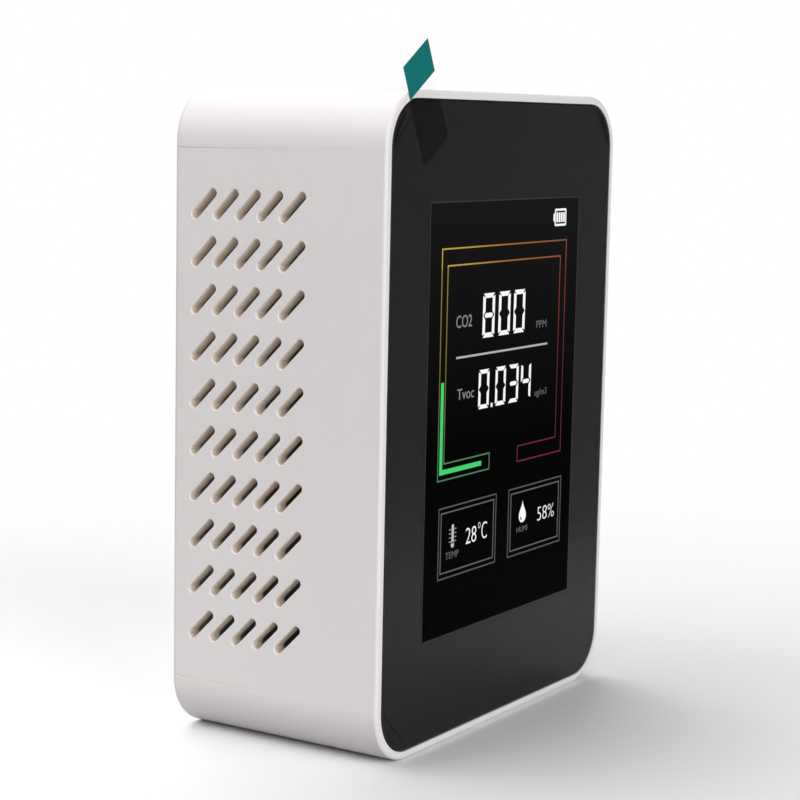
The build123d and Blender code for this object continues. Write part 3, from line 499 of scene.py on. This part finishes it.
def flat_shape(name, loops, material, thickness=LIGHT_T, lift=0.0):
    """Closed outlines in screen mm, filled and given a thickness; a loop in a loop is a hole."""
    curve = bpy.data.curves.new(name, "CURVE")
    curve.dimensions = "2D"
    curve.fill_mode = "BOTH"
    curve.extrude = thickness / 2
    for loop in loops:
        spline = curve.splines.new("POLY")
        spline.points.add(len(loop) - 1)
        for point, (x, z) in zip(spline.points, loop):
            point.co = (x * MM, z * MM, 0, 1)
        spline.use_cyclic_u = True
    source = bpy.data.objects.new(name, curve)
    bpy.context.scene.collection.objects.link(source)
    at = on_screen(0, 0, lift + thickness / 2)
    piece = plain_mesh(source, name, Matrix.Translation(at) @ STAND_UP)
    paint(material, piece)
    return piece


def rectangle(x0, x1, z0, z1):
    """Four corners, against the clock."""
    return [(x0, z0), (x1, z0), (x1, z1), (x0, z1)]


def arc(x, z, across, up, degrees):
    """Points round a centre at these angles, with two half widths."""
    return [(x + across * cos(radians(a)), z + up * sin(radians(a))) for a in degrees]


def circle(x, z, r, steps=24):
    """Points of a full circle."""
    return arc(x, z, r, r, [360 * i / steps for i in range(steps)])


def rounded(x0, x1, z0, z1, r):
    """Rectangle with round corners."""
    points = []
    for turn, (x, z) in enumerate(((x1 - r, z1 - r), (x0 + r, z1 - r),
                                   (x0 + r, z0 + r), (x1 - r, z0 + r))):
        points += arc(x, z, r, r, range(90 * turn, 90 * turn + 91, 18))
    return points


def label(name, words, x0, x1, z0, z1, material, bold=0.0):
    """Words set so that they fill a box of the display, in screen mm; a bold below 0 thins them.

    The letters need some thickness of their own, which the box then scales to LIGHT_T.
    """
    curve = bpy.data.curves.new(name, "FONT")
    curve.body = words
    curve.resolution_u = 4
    curve.offset = bold
    curve.extrude = 0.01
    source = bpy.data.objects.new(name, curve)
    bpy.context.scene.collection.objects.link(source)
    piece = plain_mesh(source, name)
    corners = [vertex.co for vertex in piece.data.vertices]
    low = [min(c[i] for c in corners) for i in range(3)]
    high = [max(c[i] for c in corners) for i in range(3)]
    for vertex in piece.data.vertices:
        u, v, w = [(vertex.co[i] - low[i]) / (high[i] - low[i]) for i in range(3)]
        vertex.co = on_screen(x0 + u * (x1 - x0), z0 + v * (z1 - z0), w * LIGHT_T)
    paint(material, piece)
    return piece


# ---- Geometry Nodes: the two drawings that repeat on the display


def new_tree(name, inputs):
    """A geometry tree with named number inputs, and one material input."""
    tree = bpy.data.node_groups.new(name, "GeometryNodeTree")
    tree.interface.new_socket("Geometry", in_out="INPUT", socket_type="NodeSocketGeometry")
    for title, value in inputs.items():
        socket = tree.interface.new_socket(title, in_out="INPUT", socket_type="NodeSocketFloat")
        socket.default_value = value
    tree.interface.new_socket("Material", in_out="INPUT", socket_type="NodeSocketMaterial")
    tree.interface.new_socket("Geometry", in_out="OUTPUT", socket_type="NodeSocketGeometry")
    return tree, tree.nodes.new("NodeGroupInput").outputs


def run_tree(tree, name, vertices, edges, material, attributes=(), faces=(), **inputs):
    """Run a tree on points, edges or faces in metres, and keep the result as a plain mesh."""
    mesh = bpy.data.meshes.new(name)
    mesh.from_pydata(vertices, edges, faces)
    for title, kind, values in attributes:
        attribute = mesh.attributes.new(title, kind, "POINT")
        attribute.data.foreach_set("value", values)
    source = bpy.data.objects.new(name, mesh)
    bpy.context.scene.collection.objects.link(source)
    modifier = source.modifiers.new("shape", "NODES")
    modifier.node_group = tree
    identifiers = {item.name: item.identifier for item in tree.interface.items_tree
                   if item.item_type == "SOCKET" and item.in_out == "INPUT"}
    for title, value in inputs.items():
        modifier[identifiers[title.replace("_", " ")]] = value
    modifier[identifiers["Material"]] = material
    return plain_mesh(source, name)


def segment_tree():
    """Seven-segment bars: each point carries its turn and its kind.

    The kinds are 0 across, 1 and 2 upright with the outer end to the left or the right of the
    bar's own middle, and 3 the middle bar.
    """
    tree, given = new_tree("seven_segment_bars", {
        "Across": 3.0 * MM, "Upright": 3.0 * MM, "Stroke": 0.8 * MM, "Middle Cut": 0.3 * MM,
        "Thickness": LIGHT_T, "Slant": 0.08, "Base": 0.0})
    bars = add(tree, "GeometryNodeJoinGeometry")

    def bar(parts):
        """One instance that draws these parts together."""
        joined = add(tree, "GeometryNodeJoinGeometry")
        for part in parts:
            tree.links.new(part.outputs[0], joined.inputs[0])
        return add(tree, "GeometryNodeGeometryToInstance", {0: joined}).outputs[0]

    double, half, quarter = [
        add(tree, "ShaderNodeMath", {0: given["Stroke"], 1: share}, operation="MULTIPLY")
        for share in (2.0, 0.5, 0.25)]
    # Bars across are mitred at both ends. Uprights are mitred at their outer end, and cut back
    # only a little at the middle of the digit.
    kinds = []
    short_across = add(tree, "ShaderNodeMath",
                       {0: given["Across"], 1: double}, operation="SUBTRACT")
    cuts, uneven = [
        add(tree, "ShaderNodeMath", {0: given["Stroke"], 1: given["Middle Cut"]}, operation=how)
        for how in ("ADD", "SUBTRACT")]
    short_upright = add(tree, "ShaderNodeMath",
                        {0: given["Upright"], 1: cuts}, operation="SUBTRACT")
    for side, short, length in ((0.0, short_across, "Across"), (0.5, short_upright, "Upright"),
                                (-0.5, short_upright, "Upright")):
        offset = add(tree, "ShaderNodeMath", {0: uneven, 1: side}, operation="MULTIPLY")
        shape = add(tree, "GeometryNodeCurvePrimitiveQuadrilateral",
                    {"Height": given["Stroke"], "Bottom Width": short,
                     "Top Width": given[length], "Offset": offset}, mode="TRAPEZOID")
        kinds.append(bar([add(tree, "GeometryNodeFillCurve", {0: shape})]))
    # The middle bar is pointed at both ends: two half-height trapezoids back to back.
    middle_long = add(tree, "ShaderNodeMath",
                      {0: given["Across"], 1: given["Stroke"]}, operation="SUBTRACT")
    middle_short = add(tree, "ShaderNodeMath",
                       {0: given["Across"], 1: double}, operation="SUBTRACT")
    halves = []
    for side, below, above in ((1.0, middle_long, middle_short),
                               (-1.0, middle_short, middle_long)):
        shape = add(tree, "GeometryNodeCurvePrimitiveQuadrilateral",
                    {"Height": half, "Bottom Width": below, "Top Width": above,
                     "Offset": 0.0}, mode="TRAPEZOID")
        shift = add(tree, "ShaderNodeMath", {0: quarter, 1: side}, operation="MULTIPLY")
        offset = add(tree, "ShaderNodeCombineXYZ", {"Y": shift})
        filled = add(tree, "GeometryNodeFillCurve", {0: shape})
        halves.append(add(tree, "GeometryNodeTransform",
                          {"Geometry": filled, "Translation": offset}))
    kinds.append(bar(halves))
    for kind in reversed(kinds):
        tree.links.new(kind, bars.inputs[0])
    turn = add(tree, "GeometryNodeInputNamedAttribute", {"Name": "turn"}, data_type="FLOAT")
    kind = add(tree, "GeometryNodeInputNamedAttribute", {"Name": "kind"}, data_type="INT")
    angles = add(tree, "ShaderNodeCombineXYZ", {"Z": turn})
    placed = add(tree, "GeometryNodeInstanceOnPoints",
                 {"Points": given["Geometry"], "Instance": bars, "Rotation": angles,
                  "Pick Instance": True, "Instance Index": kind})
    real = add(tree, "GeometryNodeRealizeInstances", {0: placed})
    merged = add(tree, "GeometryNodeMergeByDistance",
                 {"Geometry": real, "Distance": 0.001 * MM})
    up = add(tree, "ShaderNodeCombineXYZ", {"Z": 1.0})
    solid = add(tree, "GeometryNodeExtrudeMesh",
                {"Mesh": merged, "Offset": up, "Offset Scale": given["Thickness"],
                 "Individual": False})
    back = add(tree, "GeometryNodeFlipFaces", {0: merged})
    closed = add(tree, "GeometryNodeJoinGeometry")
    tree.links.new(solid.outputs[0], closed.inputs[0])
    tree.links.new(back.outputs[0], closed.inputs[0])
    welded = add(tree, "GeometryNodeMergeByDistance",
                 {"Geometry": closed, "Distance": 0.001 * MM})
    here = add(tree, "ShaderNodeSeparateXYZ", {"Vector": add(tree, "GeometryNodeInputPosition")})
    risen = add(tree, "ShaderNodeMath",
                {0: here.outputs["Y"], 1: given["Base"]}, operation="SUBTRACT")
    lean = add(tree, "ShaderNodeMath", {0: risen, 1: given["Slant"]}, operation="MULTIPLY")
    sideways = add(tree, "ShaderNodeCombineXYZ", {"X": lean})
    leaning = add(tree, "GeometryNodeSetPosition",
                  {"Geometry": welded, "Offset": sideways})
    final = add(tree, "GeometryNodeRealizeInstances", {0: leaning})
    named = add(tree, "GeometryNodeSetMaterial",
                {"Geometry": final, "Material": given["Material"]})
    add(tree, "NodeGroupOutput", {0: named})
    return tree


def line_tree():
    """A drawn line along closed square-cornered loops, so every corner is mitred by root two."""
    tree, given = new_tree("drawn_lines", {"Line Width": 0.25 * MM, "Thickness": LIGHT_T})
    path = add(tree, "GeometryNodeMeshToCurve", {0: given["Geometry"]})
    wide = add(tree, "ShaderNodeMath",
               {0: given["Line Width"], 1: sqrt(2)}, operation="MULTIPLY")
    profile = add(tree, "GeometryNodeCurvePrimitiveQuadrilateral",
                  {"Width": wide, "Height": given["Thickness"]}, mode="RECTANGLE")
    drawn = add(tree, "GeometryNodeCurveToMesh",
                {"Curve": path, "Profile Curve": profile,
                 "Fill Caps": True})
    real = add(tree, "GeometryNodeRealizeInstances", {0: drawn})
    named = add(tree, "GeometryNodeSetMaterial",
                {"Geometry": real, "Material": given["Material"]})
    add(tree, "NodeGroupOutput", {0: named})
    return tree


# Which bars a digit lights: a top, b and c right, d bottom, e and f left, g middle.
DIGITS = {"0": "abcdef", "3": "abcdg", "4": "bcfg", "8": "abcdefg"}
BAR_GAP = 0.17                # in mm, from the end of a bar to the corner of its digit
MIDDLE_CUT = 0.28             # in mm, off an upright bar at the middle of its digit
SLANT = 0.01


def reading(name, digits, width, height, stroke, z0, material):
    """Seven-segment digits, as (digit, left edge) pairs in screen mm."""
    half, mid = height / 2, stroke / 2
    across, upright = width - 2 * BAR_GAP, half - 2 * BAR_GAP
    places = {"a": (width / 2, height - mid, 0, 0), "d": (width / 2, mid, pi, 0),
              "f": (mid, half + half / 2, pi / 2, 2), "e": (mid, half / 2, pi / 2, 1),
              "b": (width - mid, half + half / 2, -pi / 2, 1),
              "c": (width - mid, half / 2, -pi / 2, 2),
              "g": (width / 2, half, 0, 3)}
    points, turns, kinds = [], [], []
    for digit, left in digits:
        for bar in DIGITS[digit]:
            x, z, turn, kind = places[bar]
            points.append(((left + x) * MM, (z0 + z) * MM, 0))
            turns.append(turn)
            kinds.append(kind)
    piece = run_tree(
        segments, name, points, [], material,
        [("turn", "FLOAT", turns), ("kind", "INT", kinds)],
        Across=across * MM, Upright=upright * MM, Stroke=stroke * MM, Middle_Cut=MIDDLE_CUT * MM,
        Thickness=LIGHT_T, Slant=SLANT, Base=z0 * MM)
    piece.data.transform(Matrix.Translation(on_screen(0, 0)) @ STAND_UP)
    return piece


def outline(name, loops, line_mm, material):
    """Closed square-cornered outlines in screen mm, drawn as one line."""
    vertices, edges = [], []
    for loop in loops:
        first = len(vertices)
        vertices += [(x * MM, z * MM, 0) for x, z in loop]
        edges += [(first + i, first + (i + 1) % len(loop)) for i in range(len(loop))]
    piece = run_tree(lines, name, vertices, edges, material,
                     Line_Width=line_mm * MM, Thickness=LIGHT_T)
    piece.data.transform(Matrix.Translation(on_screen(0, 0, LIGHT_T / 2)) @ STAND_UP)
    return piece


segments, lines = segment_tree(), line_tree()

# Lights of the colour display: white readings, and greys that step down to the window's edge.
lit_white = lit_colour("display_white_light", "#ffffff")
lit_grey = lit_colour("display_grey_light", "#8e8e8e")
lit_dim = lit_colour("display_dim_light", "#666666")
lit_pale = lit_colour("display_pale_light", "#c8c8c8")
lit_line = lit_colour("display_divider_light", "#b4b4b4")
lit_box = lit_colour("display_box_light", "#565656")
lit_inner_box = lit_colour("display_inner_box_light", "#646464")
lit_edge = lit_colour("display_edge_light", "#3a3a3a")
lit_green = lit_colour("display_green_light", "#45d672")
gauge_light = lit_gauge(
    "display_gauge_light",
    [(0.0, "#4a7c5a"), (0.1, "#4f8052"), (0.4, "#6c6c34"), (0.75, "#8a8034"),
     (1.0, "#a88c3c")],
    [(0.0, "#c8a644"), (0.25, "#b8923e"), (0.5, "#a0663c"), (1.0, "#8c5038")],
    [(0.0, "#6a2432"), (0.3, "#5c2430"), (0.7, "#80302f"), (1.0, "#8e4034")])

# The gauge is one closed line: outer path, up and over, and back along the inner path.
left, right, foot, top = GAUGE_OUT
in_left, in_right, in_foot, in_top = GAUGE_IN
start, end = GAUGE_ENDS
GAUGE = [(start, foot), (left, foot), (left, top), (right, top), (right, foot), (end, foot),
         (end, in_foot), (in_right, in_foot), (in_right, in_top), (in_left, in_top),
         (in_left, in_foot), (start, in_foot)]
WINDOW = rectangle(-SCREEN_HALF_W, SCREEN_HALF_W, -SCREEN_HALF_H, SCREEN_HALF_H)
pieces = [
    flat_shape("display_window", [WINDOW], dark_display(), WINDOW_T, lift=SINK - WINDOW_T),
    outline("window_edge", [WINDOW], 0.2, lit_edge),
    outline("gauge_outline", [GAUGE], 0.25, gauge_light),
    flat_shape("gauge_bar", [[(-21.5, 6.8), (-21.5, -8.9), (-7.55, -8.9), (-7.55, -8.05),
                              (-20.6, -8.05), (-20.6, 6.8)]], lit_green),
    reading("co2_reading", [("8", -8.25), ("0", -2.8), ("0", 2.5)], 4.05, 7.65, 0.82, 13.35,
            lit_white),
    reading("voc_reading", [("0", -9.1), ("0", -3.3), ("3", 1.25), ("4", 5.8)], 3.6, 6.8, 0.72,
            1.05, lit_white),
    flat_shape("voc_decimal_point", [rounded(-4.75, -4.1, 1.0, 1.75, 0.2)], lit_white),
    flat_shape("reading_divider", [rectangle(-16.8, 15.3, 10.42, 10.78)], lit_line),
    outline("climate_boxes",
            [rectangle(-21.24, -1.92, -26.9, -14.7), rectangle(2.6, 22.16, -26.9, -14.7)],
            0.26, lit_box),
    outline("climate_inner_boxes",
            [rectangle(-20.5, -2.75, -25.95, -15.6), rectangle(3.45, 21.3, -25.95, -15.6)],
            0.24, lit_inner_box),
    label("co2_label", "CO2", -17.05, -11.85, 15.65, 17.75, lit_grey),
    label("ppm_label", "PPM", 10.96, 14.73, 13.7, 15.0, lit_dim),
    label("voc_label", "Tvoc", -16.2, -10.6, 3.35, 5.2, lit_grey),
    label("density_label", "ug/m3", 10.98, 15.5, 1.0, 2.6, lit_dim),
    label("temperature_label", "TEMP", -18.9, -14.5, -23.75, -22.6, lit_dim),
    label("humidity_label", "HUMI", 5.75, 9.69, -22.95, -21.95, lit_dim),
    label("temperature_value", "28", -12.15, -8.6, -22.1, -19.3, lit_white, -0.012),
    label("temperature_unit", "°C", -8.0, -4.95, -22.05, -18.9, lit_white, -0.014),
    label("humidity_value", "58%", 13.4, 19.75, -21.9, -19.35, lit_white, -0.016),
    flat_shape("thermometer_icon",
               [rounded(-16.95, -16.25, -21.3, -17.9, 0.3), circle(-16.6, -21.45, 0.5)]
               + [rectangle(x, x + 0.55, z, z + 0.12) for x in (-17.75, -16.0)
                  for z in (-20.9, -20.2, -19.5, -18.8)],
               lit_pale),
    flat_shape("battery_icon",
               [rounded(16.75, 21.13, 31.75, 34.9, 0.35), rounded(17.1, 20.78, 32.15, 34.5, 0.2),
                rounded(16.28, 16.68, 32.6, 34.05, 0.15)]
               + [rectangle(x, x + 0.62, 32.45, 34.2) for x in (17.38, 18.24, 19.1, 19.96)],
               lit_white),
]

# Water drop: a round base drawn up to a point, with a crescent cut out at its lower left.
drop = arc(7.77, -20.0, 1.28, 1.28, range(-212, 33, 12))
drop += [(7.95, -17.9), (7.77, -17.3), (7.59, -17.9)]
crescent = arc(7.77, -20.05, 0.9, 0.85, range(185, 262, 12))
crescent += arc(7.77, -19.98, 0.62, 0.6, range(255, 184, -12))
pieces.append(flat_shape("drop_icon", [drop, crescent], lit_white))

for piece in pieces:
    show(piece)

# ------------------------------------------------------------------ small parts on the boards


def small_parts_tree():
    """Chip resistors and capacitors, scattered over flat regions and squared to the board.

    Only their spacing limits how many there are: the density is far above what it lets through.
    """
    tree, given = new_tree("small_surface_parts", {
        "Length": 1.6 * MM, "Breadth": 0.8 * MM, "Rise": 0.5 * MM, "End": 0.35 * MM,
        "Spacing": 2.6 * MM, "Seed": 5.0})
    points = add(tree, "GeometryNodeDistributePointsOnFaces",
                 {"Mesh": given["Geometry"], "Distance Min": given["Spacing"],
                  "Density Max": 1e6, "Seed": given["Seed"]}, distribute_method="POISSON")
    size = add(tree, "ShaderNodeCombineXYZ",
               {"X": given["Length"], "Y": given["Breadth"], "Z": given["Rise"]})
    half_rise = add(tree, "ShaderNodeMath", {0: given["Rise"], 1: 0.5}, operation="MULTIPLY")
    up = add(tree, "ShaderNodeCombineXYZ", {"Z": half_rise})
    body = add(tree, "GeometryNodeTransform",
               {"Geometry": add(tree, "GeometryNodeMeshCube", {"Size": size}),
                "Translation": up})
    plain = add(tree, "GeometryNodeStoreNamedAttribute",
                {"Geometry": body, "Name": "tinned", "Value": 0.0},
                data_type="FLOAT", domain="FACE")
    part = add(tree, "GeometryNodeJoinGeometry")
    tree.links.new(plain.outputs[0], part.inputs[0])
    # The tinned ends stand a little proud of the body, at its sides and on top.
    proud = (1, 1.08, 1.1)
    end = add(tree, "ShaderNodeCombineXYZ",
              {"X": given["End"], "Y": given["Breadth"], "Z": given["Rise"]})
    end_size = add(tree, "ShaderNodeVectorMath", {0: end, 1: proud}, operation="MULTIPLY")
    lift = add(tree, "ShaderNodeMath",
               {0: given["Rise"], 1: proud[2] / 2}, operation="MULTIPLY")
    for side in (-0.5, 0.5):
        reach = add(tree, "ShaderNodeMath", {0: given["Length"], 1: side}, operation="MULTIPLY")
        place = add(tree, "ShaderNodeCombineXYZ", {"X": reach, "Z": lift})
        cap = add(tree, "GeometryNodeTransform",
                  {"Geometry": add(tree, "GeometryNodeMeshCube", {"Size": end_size}),
                   "Translation": place})
        tinned = add(tree, "GeometryNodeStoreNamedAttribute",
                     {"Geometry": cap, "Name": "tinned", "Value": 1.0},
                     data_type="FLOAT", domain="FACE")
        tree.links.new(tinned.outputs[0], part.inputs[0])
    quarter = add(tree, "FunctionNodeRandomValue",
                  {"Min": 0.0, "Max": 2.0, "Seed": given["Seed"]}, data_type="FLOAT")
    whole = add(tree, "ShaderNodeMath", {0: quarter.outputs["Value"]}, operation="FLOOR")
    turn = add(tree, "ShaderNodeMath", {0: whole, 1: pi / 2}, operation="MULTIPLY")
    angles = add(tree, "ShaderNodeCombineXYZ", {"Z": turn})
    placed = add(tree, "GeometryNodeInstanceOnPoints",
                 {"Points": points.outputs["Points"], "Instance": part, "Rotation": angles})
    real = add(tree, "GeometryNodeRealizeInstances", {0: placed})
    named = add(tree, "GeometryNodeSetMaterial",
                {"Geometry": real, "Material": given["Material"]})
    add(tree, "NodeGroupOutput", {0: named})
    return tree


# Ceramic chip parts: tan capacitors and black resistors, with bright tinned ends.
def chip_part_ceramic():
    material, tree, shader, place = new_material("chip_part_ceramic", Roughness=0.4)
    tinned = add(tree, "ShaderNodeAttribute", attribute_name="tinned").outputs["Fac"]
    patch = add(tree, "ShaderNodeTexVoronoi", {"Vector": place, "Scale": 1 / (6 * MM)})
    kind = add(tree, "ShaderNodeSeparateColor", {"Color": patch.outputs["Color"]})
    is_tan = add(tree, "ShaderNodeMath", {0: kind, 1: 0.5}, operation="GREATER_THAN")
    body = add(tree, "ShaderNodeMix",
               {"Factor": is_tan, "A": linear("#1b1b1d"), "B": linear("#b08a5c")},
               data_type="RGBA")
    tone = add(tree, "ShaderNodeMix",
               {"Factor": tinned, "A": body.outputs["Result"], "B": linear("#c4c4c2")},
               data_type="RGBA")
    link(tree, shader, Base_Color=tone.outputs["Result"], Metallic=tinned)
    return material


ceramic = chip_part_ceramic()
scatter = small_parts_tree()
main_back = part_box("main_board")[1].y
power_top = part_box("power_board")[1].z
# Free regions in mm: (x0, x1, up0, up1) on the main board as seen from behind, where x is
# turned round, and (x0, x1, y0, y1) on the power board as seen from above.
MAIN_REGIONS = [(-11, 9, 75, 91), (7, 12, 45, 71), (-14, -10, 45, 71), (-10, 11, 28, 43)]
POWER_REGIONS = [(-6, 8, 7.5, 15.5), (11, 19, 3.5, 10)]
FACE_BACK = Matrix(((-1, 0, 0, 0), (0, 0, 1, 0), (0, 1, 0, 0), (0, 0, 0, 1)))
for name, regions, place, seed in (
        ("main_board_small_parts", MAIN_REGIONS,
         Matrix.Translation((0, main_back, 0)) @ FACE_BACK, 5.0),
        ("power_board_small_parts", POWER_REGIONS,
         Matrix.Translation((0, 0, power_top)), 8.0)):
    corners = [(x * MM, y * MM, 0) for x0, x1, y0, y1 in regions
               for x, y in rectangle(x0, x1, y0, y1)]
    faces = [tuple(range(4 * i, 4 * i + 4)) for i in range(len(regions))]
    piece = run_tree(scatter, name, corners, [], ceramic, faces=faces, Seed=seed)
    piece.data.transform(place)
    show(piece)

# Power symbol printed on the button: a ring open at the top, and a bar through the gap.
button_low, button_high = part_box("power_button")
SYMBOL_R, SYMBOL_LINE, INK_T = 1.25, 0.28, 0.02     # in mm
GAP_EDGE, SWEEP, STEPS = 125, 290, 28               # the ring's first degree, its sweep, its steps
ring_angles = [GAP_EDGE + SWEEP * i / STEPS for i in range(STEPS + 1)]
outer, inner = SYMBOL_R + SYMBOL_LINE / 2, SYMBOL_R - SYMBOL_LINE / 2
open_ring = (arc(0, 0, outer, outer, ring_angles)
             + arc(0, 0, inner, inner, reversed(ring_angles)))
bar = rectangle(-SYMBOL_LINE / 2, SYMBOL_LINE / 2, 0.25, 1.6)
# Pad-printed ink: mid grey, flat and dull on the satin button.
grey_ink = moulded_plastic("grey_printed_ink", "#4a4b4d", "#434446", 0.55, 0.2, 0.002)[0]
symbol = flat_shape("power_symbol", [open_ring, bar], grey_ink, INK_T * MM)
symbol.data.transform(
    Matrix.Translation(((button_low.x + button_high.x) / 2, button_high.y + INK_T / 2 * MM,
                        (button_low.z + button_high.z) / 2))
    @ Matrix.Rotation(pi, 4, "Z")
    @ Matrix.Translation(-on_screen(0, 0, INK_T / 2 * MM)))
show(symbol, "button")

# ------------------------------------------------------------------ studio

# Pale paper sweep under the object; it fades out before its rim, so no horizon line shows.
FLOOR_R, FLOOR_SIDES = 0.75, 96
FADE_START, FADE_END = 0.08, 0.26
floor_mesh = bpy.data.meshes.new("floor")
rim = [(x, y, 0) for x, y in circle(0, 0, FLOOR_R, FLOOR_SIDES)]
floor_mesh.from_pydata(rim, [], [list(range(FLOOR_SIDES))])
floor = bpy.data.objects.new("floor", floor_mesh)
bpy.context.scene.collection.objects.link(floor)
paper, paper_tree, paper_shader, paper_place = new_material(
    "pale_paper", Roughness=0.75, IOR=1.3)
from_centre = add(paper_tree, "ShaderNodeVectorMath", {0: paper_place}, operation="LENGTH")
fade = add(paper_tree, "ShaderNodeMapRange",
           {"Value": from_centre.outputs["Value"], "From Min": FADE_START,
            "From Max": FADE_END, "To Min": 1.0, "To Max": 0.0}, interpolation_type="SMOOTHSTEP")
# The sweep bounces less light than it shows, as if it were small and far from the walls.
looked_at = add(paper_tree, "ShaderNodeLightPath").outputs["Is Camera Ray"]
paper_tone = add(paper_tree, "ShaderNodeMix",
                 {"Factor": looked_at, "A": linear("#bcbcbc"), "B": linear("#fbfbfb")},
                 data_type="RGBA")
link(paper_tree, paper_shader, Alpha=fade.outputs["Result"],
     Base_Color=paper_tone.outputs["Result"])
floor_mesh.materials.append(paper)

# White surroundings for the eye; for the light, greys from below the horizon up to overhead.
SKY_STOPS = ((0.0, 0.21), (0.2, 0.21), (0.3, 0.03), (1.0, 0.05))
world = bpy.data.worlds.new("studio")
bpy.context.scene.world = world
world.use_nodes = True
sky = world.node_tree
sky.nodes.clear()
ray = add(sky, "ShaderNodeTexCoord").outputs["Generated"]
height = add(sky, "ShaderNodeSeparateXYZ", {"Vector": ray}).outputs["Z"]
ramp = add(sky, "ShaderNodeValToRGB",
           {"Fac": add(sky, "ShaderNodeMapRange",
                       {"Value": height, "From Min": -0.2, "From Max": 1.0}).outputs["Result"]})
for at, grey in SKY_STOPS:
    if at in (0.0, 1.0):
        element = ramp.color_ramp.elements[0 if at == 0.0 else -1]
    else:
        element = ramp.color_ramp.elements.new(at)
    element.color = (grey, grey, grey, 1)
seen = add(sky, "ShaderNodeLightPath").outputs["Is Camera Ray"]
light_sky = add(sky, "ShaderNodeBackground", {"Color": ramp.outputs["Color"], "Strength": 1.0})
white_sky = add(sky, "ShaderNodeBackground", {"Color": (1, 1, 1, 1), "Strength": 1.0})
both = add(sky, "ShaderNodeMixShader", {0: seen, 1: light_sky, 2: white_sky})
add(sky, "ShaderNodeOutputWorld", {"Surface": both})


def softbox(name, place, aim, size, power):
    """Square soft light aimed at a point; it isn't seen by the camera itself."""
    light = bpy.data.lights.new(name, "AREA")
    light.shape = "SQUARE"
    light.size = size
    light.energy = power
    lamp = bpy.data.objects.new(name, light)
    lamp.location = place
    lamp.rotation_mode = "QUATERNION"
    lamp.rotation_quaternion = (Vector(aim) - Vector(place)).to_track_quat("-Z", "Y")
    lamp.visible_camera = False
    bpy.context.scene.collection.objects.link(lamp)


LIGHT_AIM = (0, 0, 0.05)
softbox("back_right_softbox", (0.4, 0.45, 0.75), LIGHT_AIM, 0.8, 5.2)
softbox("back_left_softbox", (-0.4, 0.45, 0.75), LIGHT_AIM, 0.8, 4.8)
softbox("left_softbox", (-0.7, -0.1, 0.65), LIGHT_AIM, 0.6, 1.5)
softbox("front_softbox", (-0.3, -0.9, 0.35), LIGHT_AIM, 0.7, 7.5)

CAMERA_PLACE = Vector((-316.705, -200.118, 105.774)) * MM
CAMERA_AIM = Vector((-0.160, 0.298, 55.679)) * MM
CAMERA_ROLL = radians(1.1615)
camera_data = bpy.data.cameras.new("camera")
camera_data.lens = 93.765
camera_data.sensor_width = 36.0
camera = bpy.data.objects.new("camera", camera_data)
camera.location = CAMERA_PLACE
camera.rotation_mode = "QUATERNION"
camera.rotation_quaternion = (
    (CAMERA_AIM - CAMERA_PLACE).to_track_quat("-Z", "Y") @ Quaternion((0, 0, 1), CAMERA_ROLL))
camera_data.clip_start = 0.01
bpy.context.scene.collection.objects.link(camera)
bpy.context.scene.camera = camera
bpy.context.scene.view_settings.view_transform = "Standard"
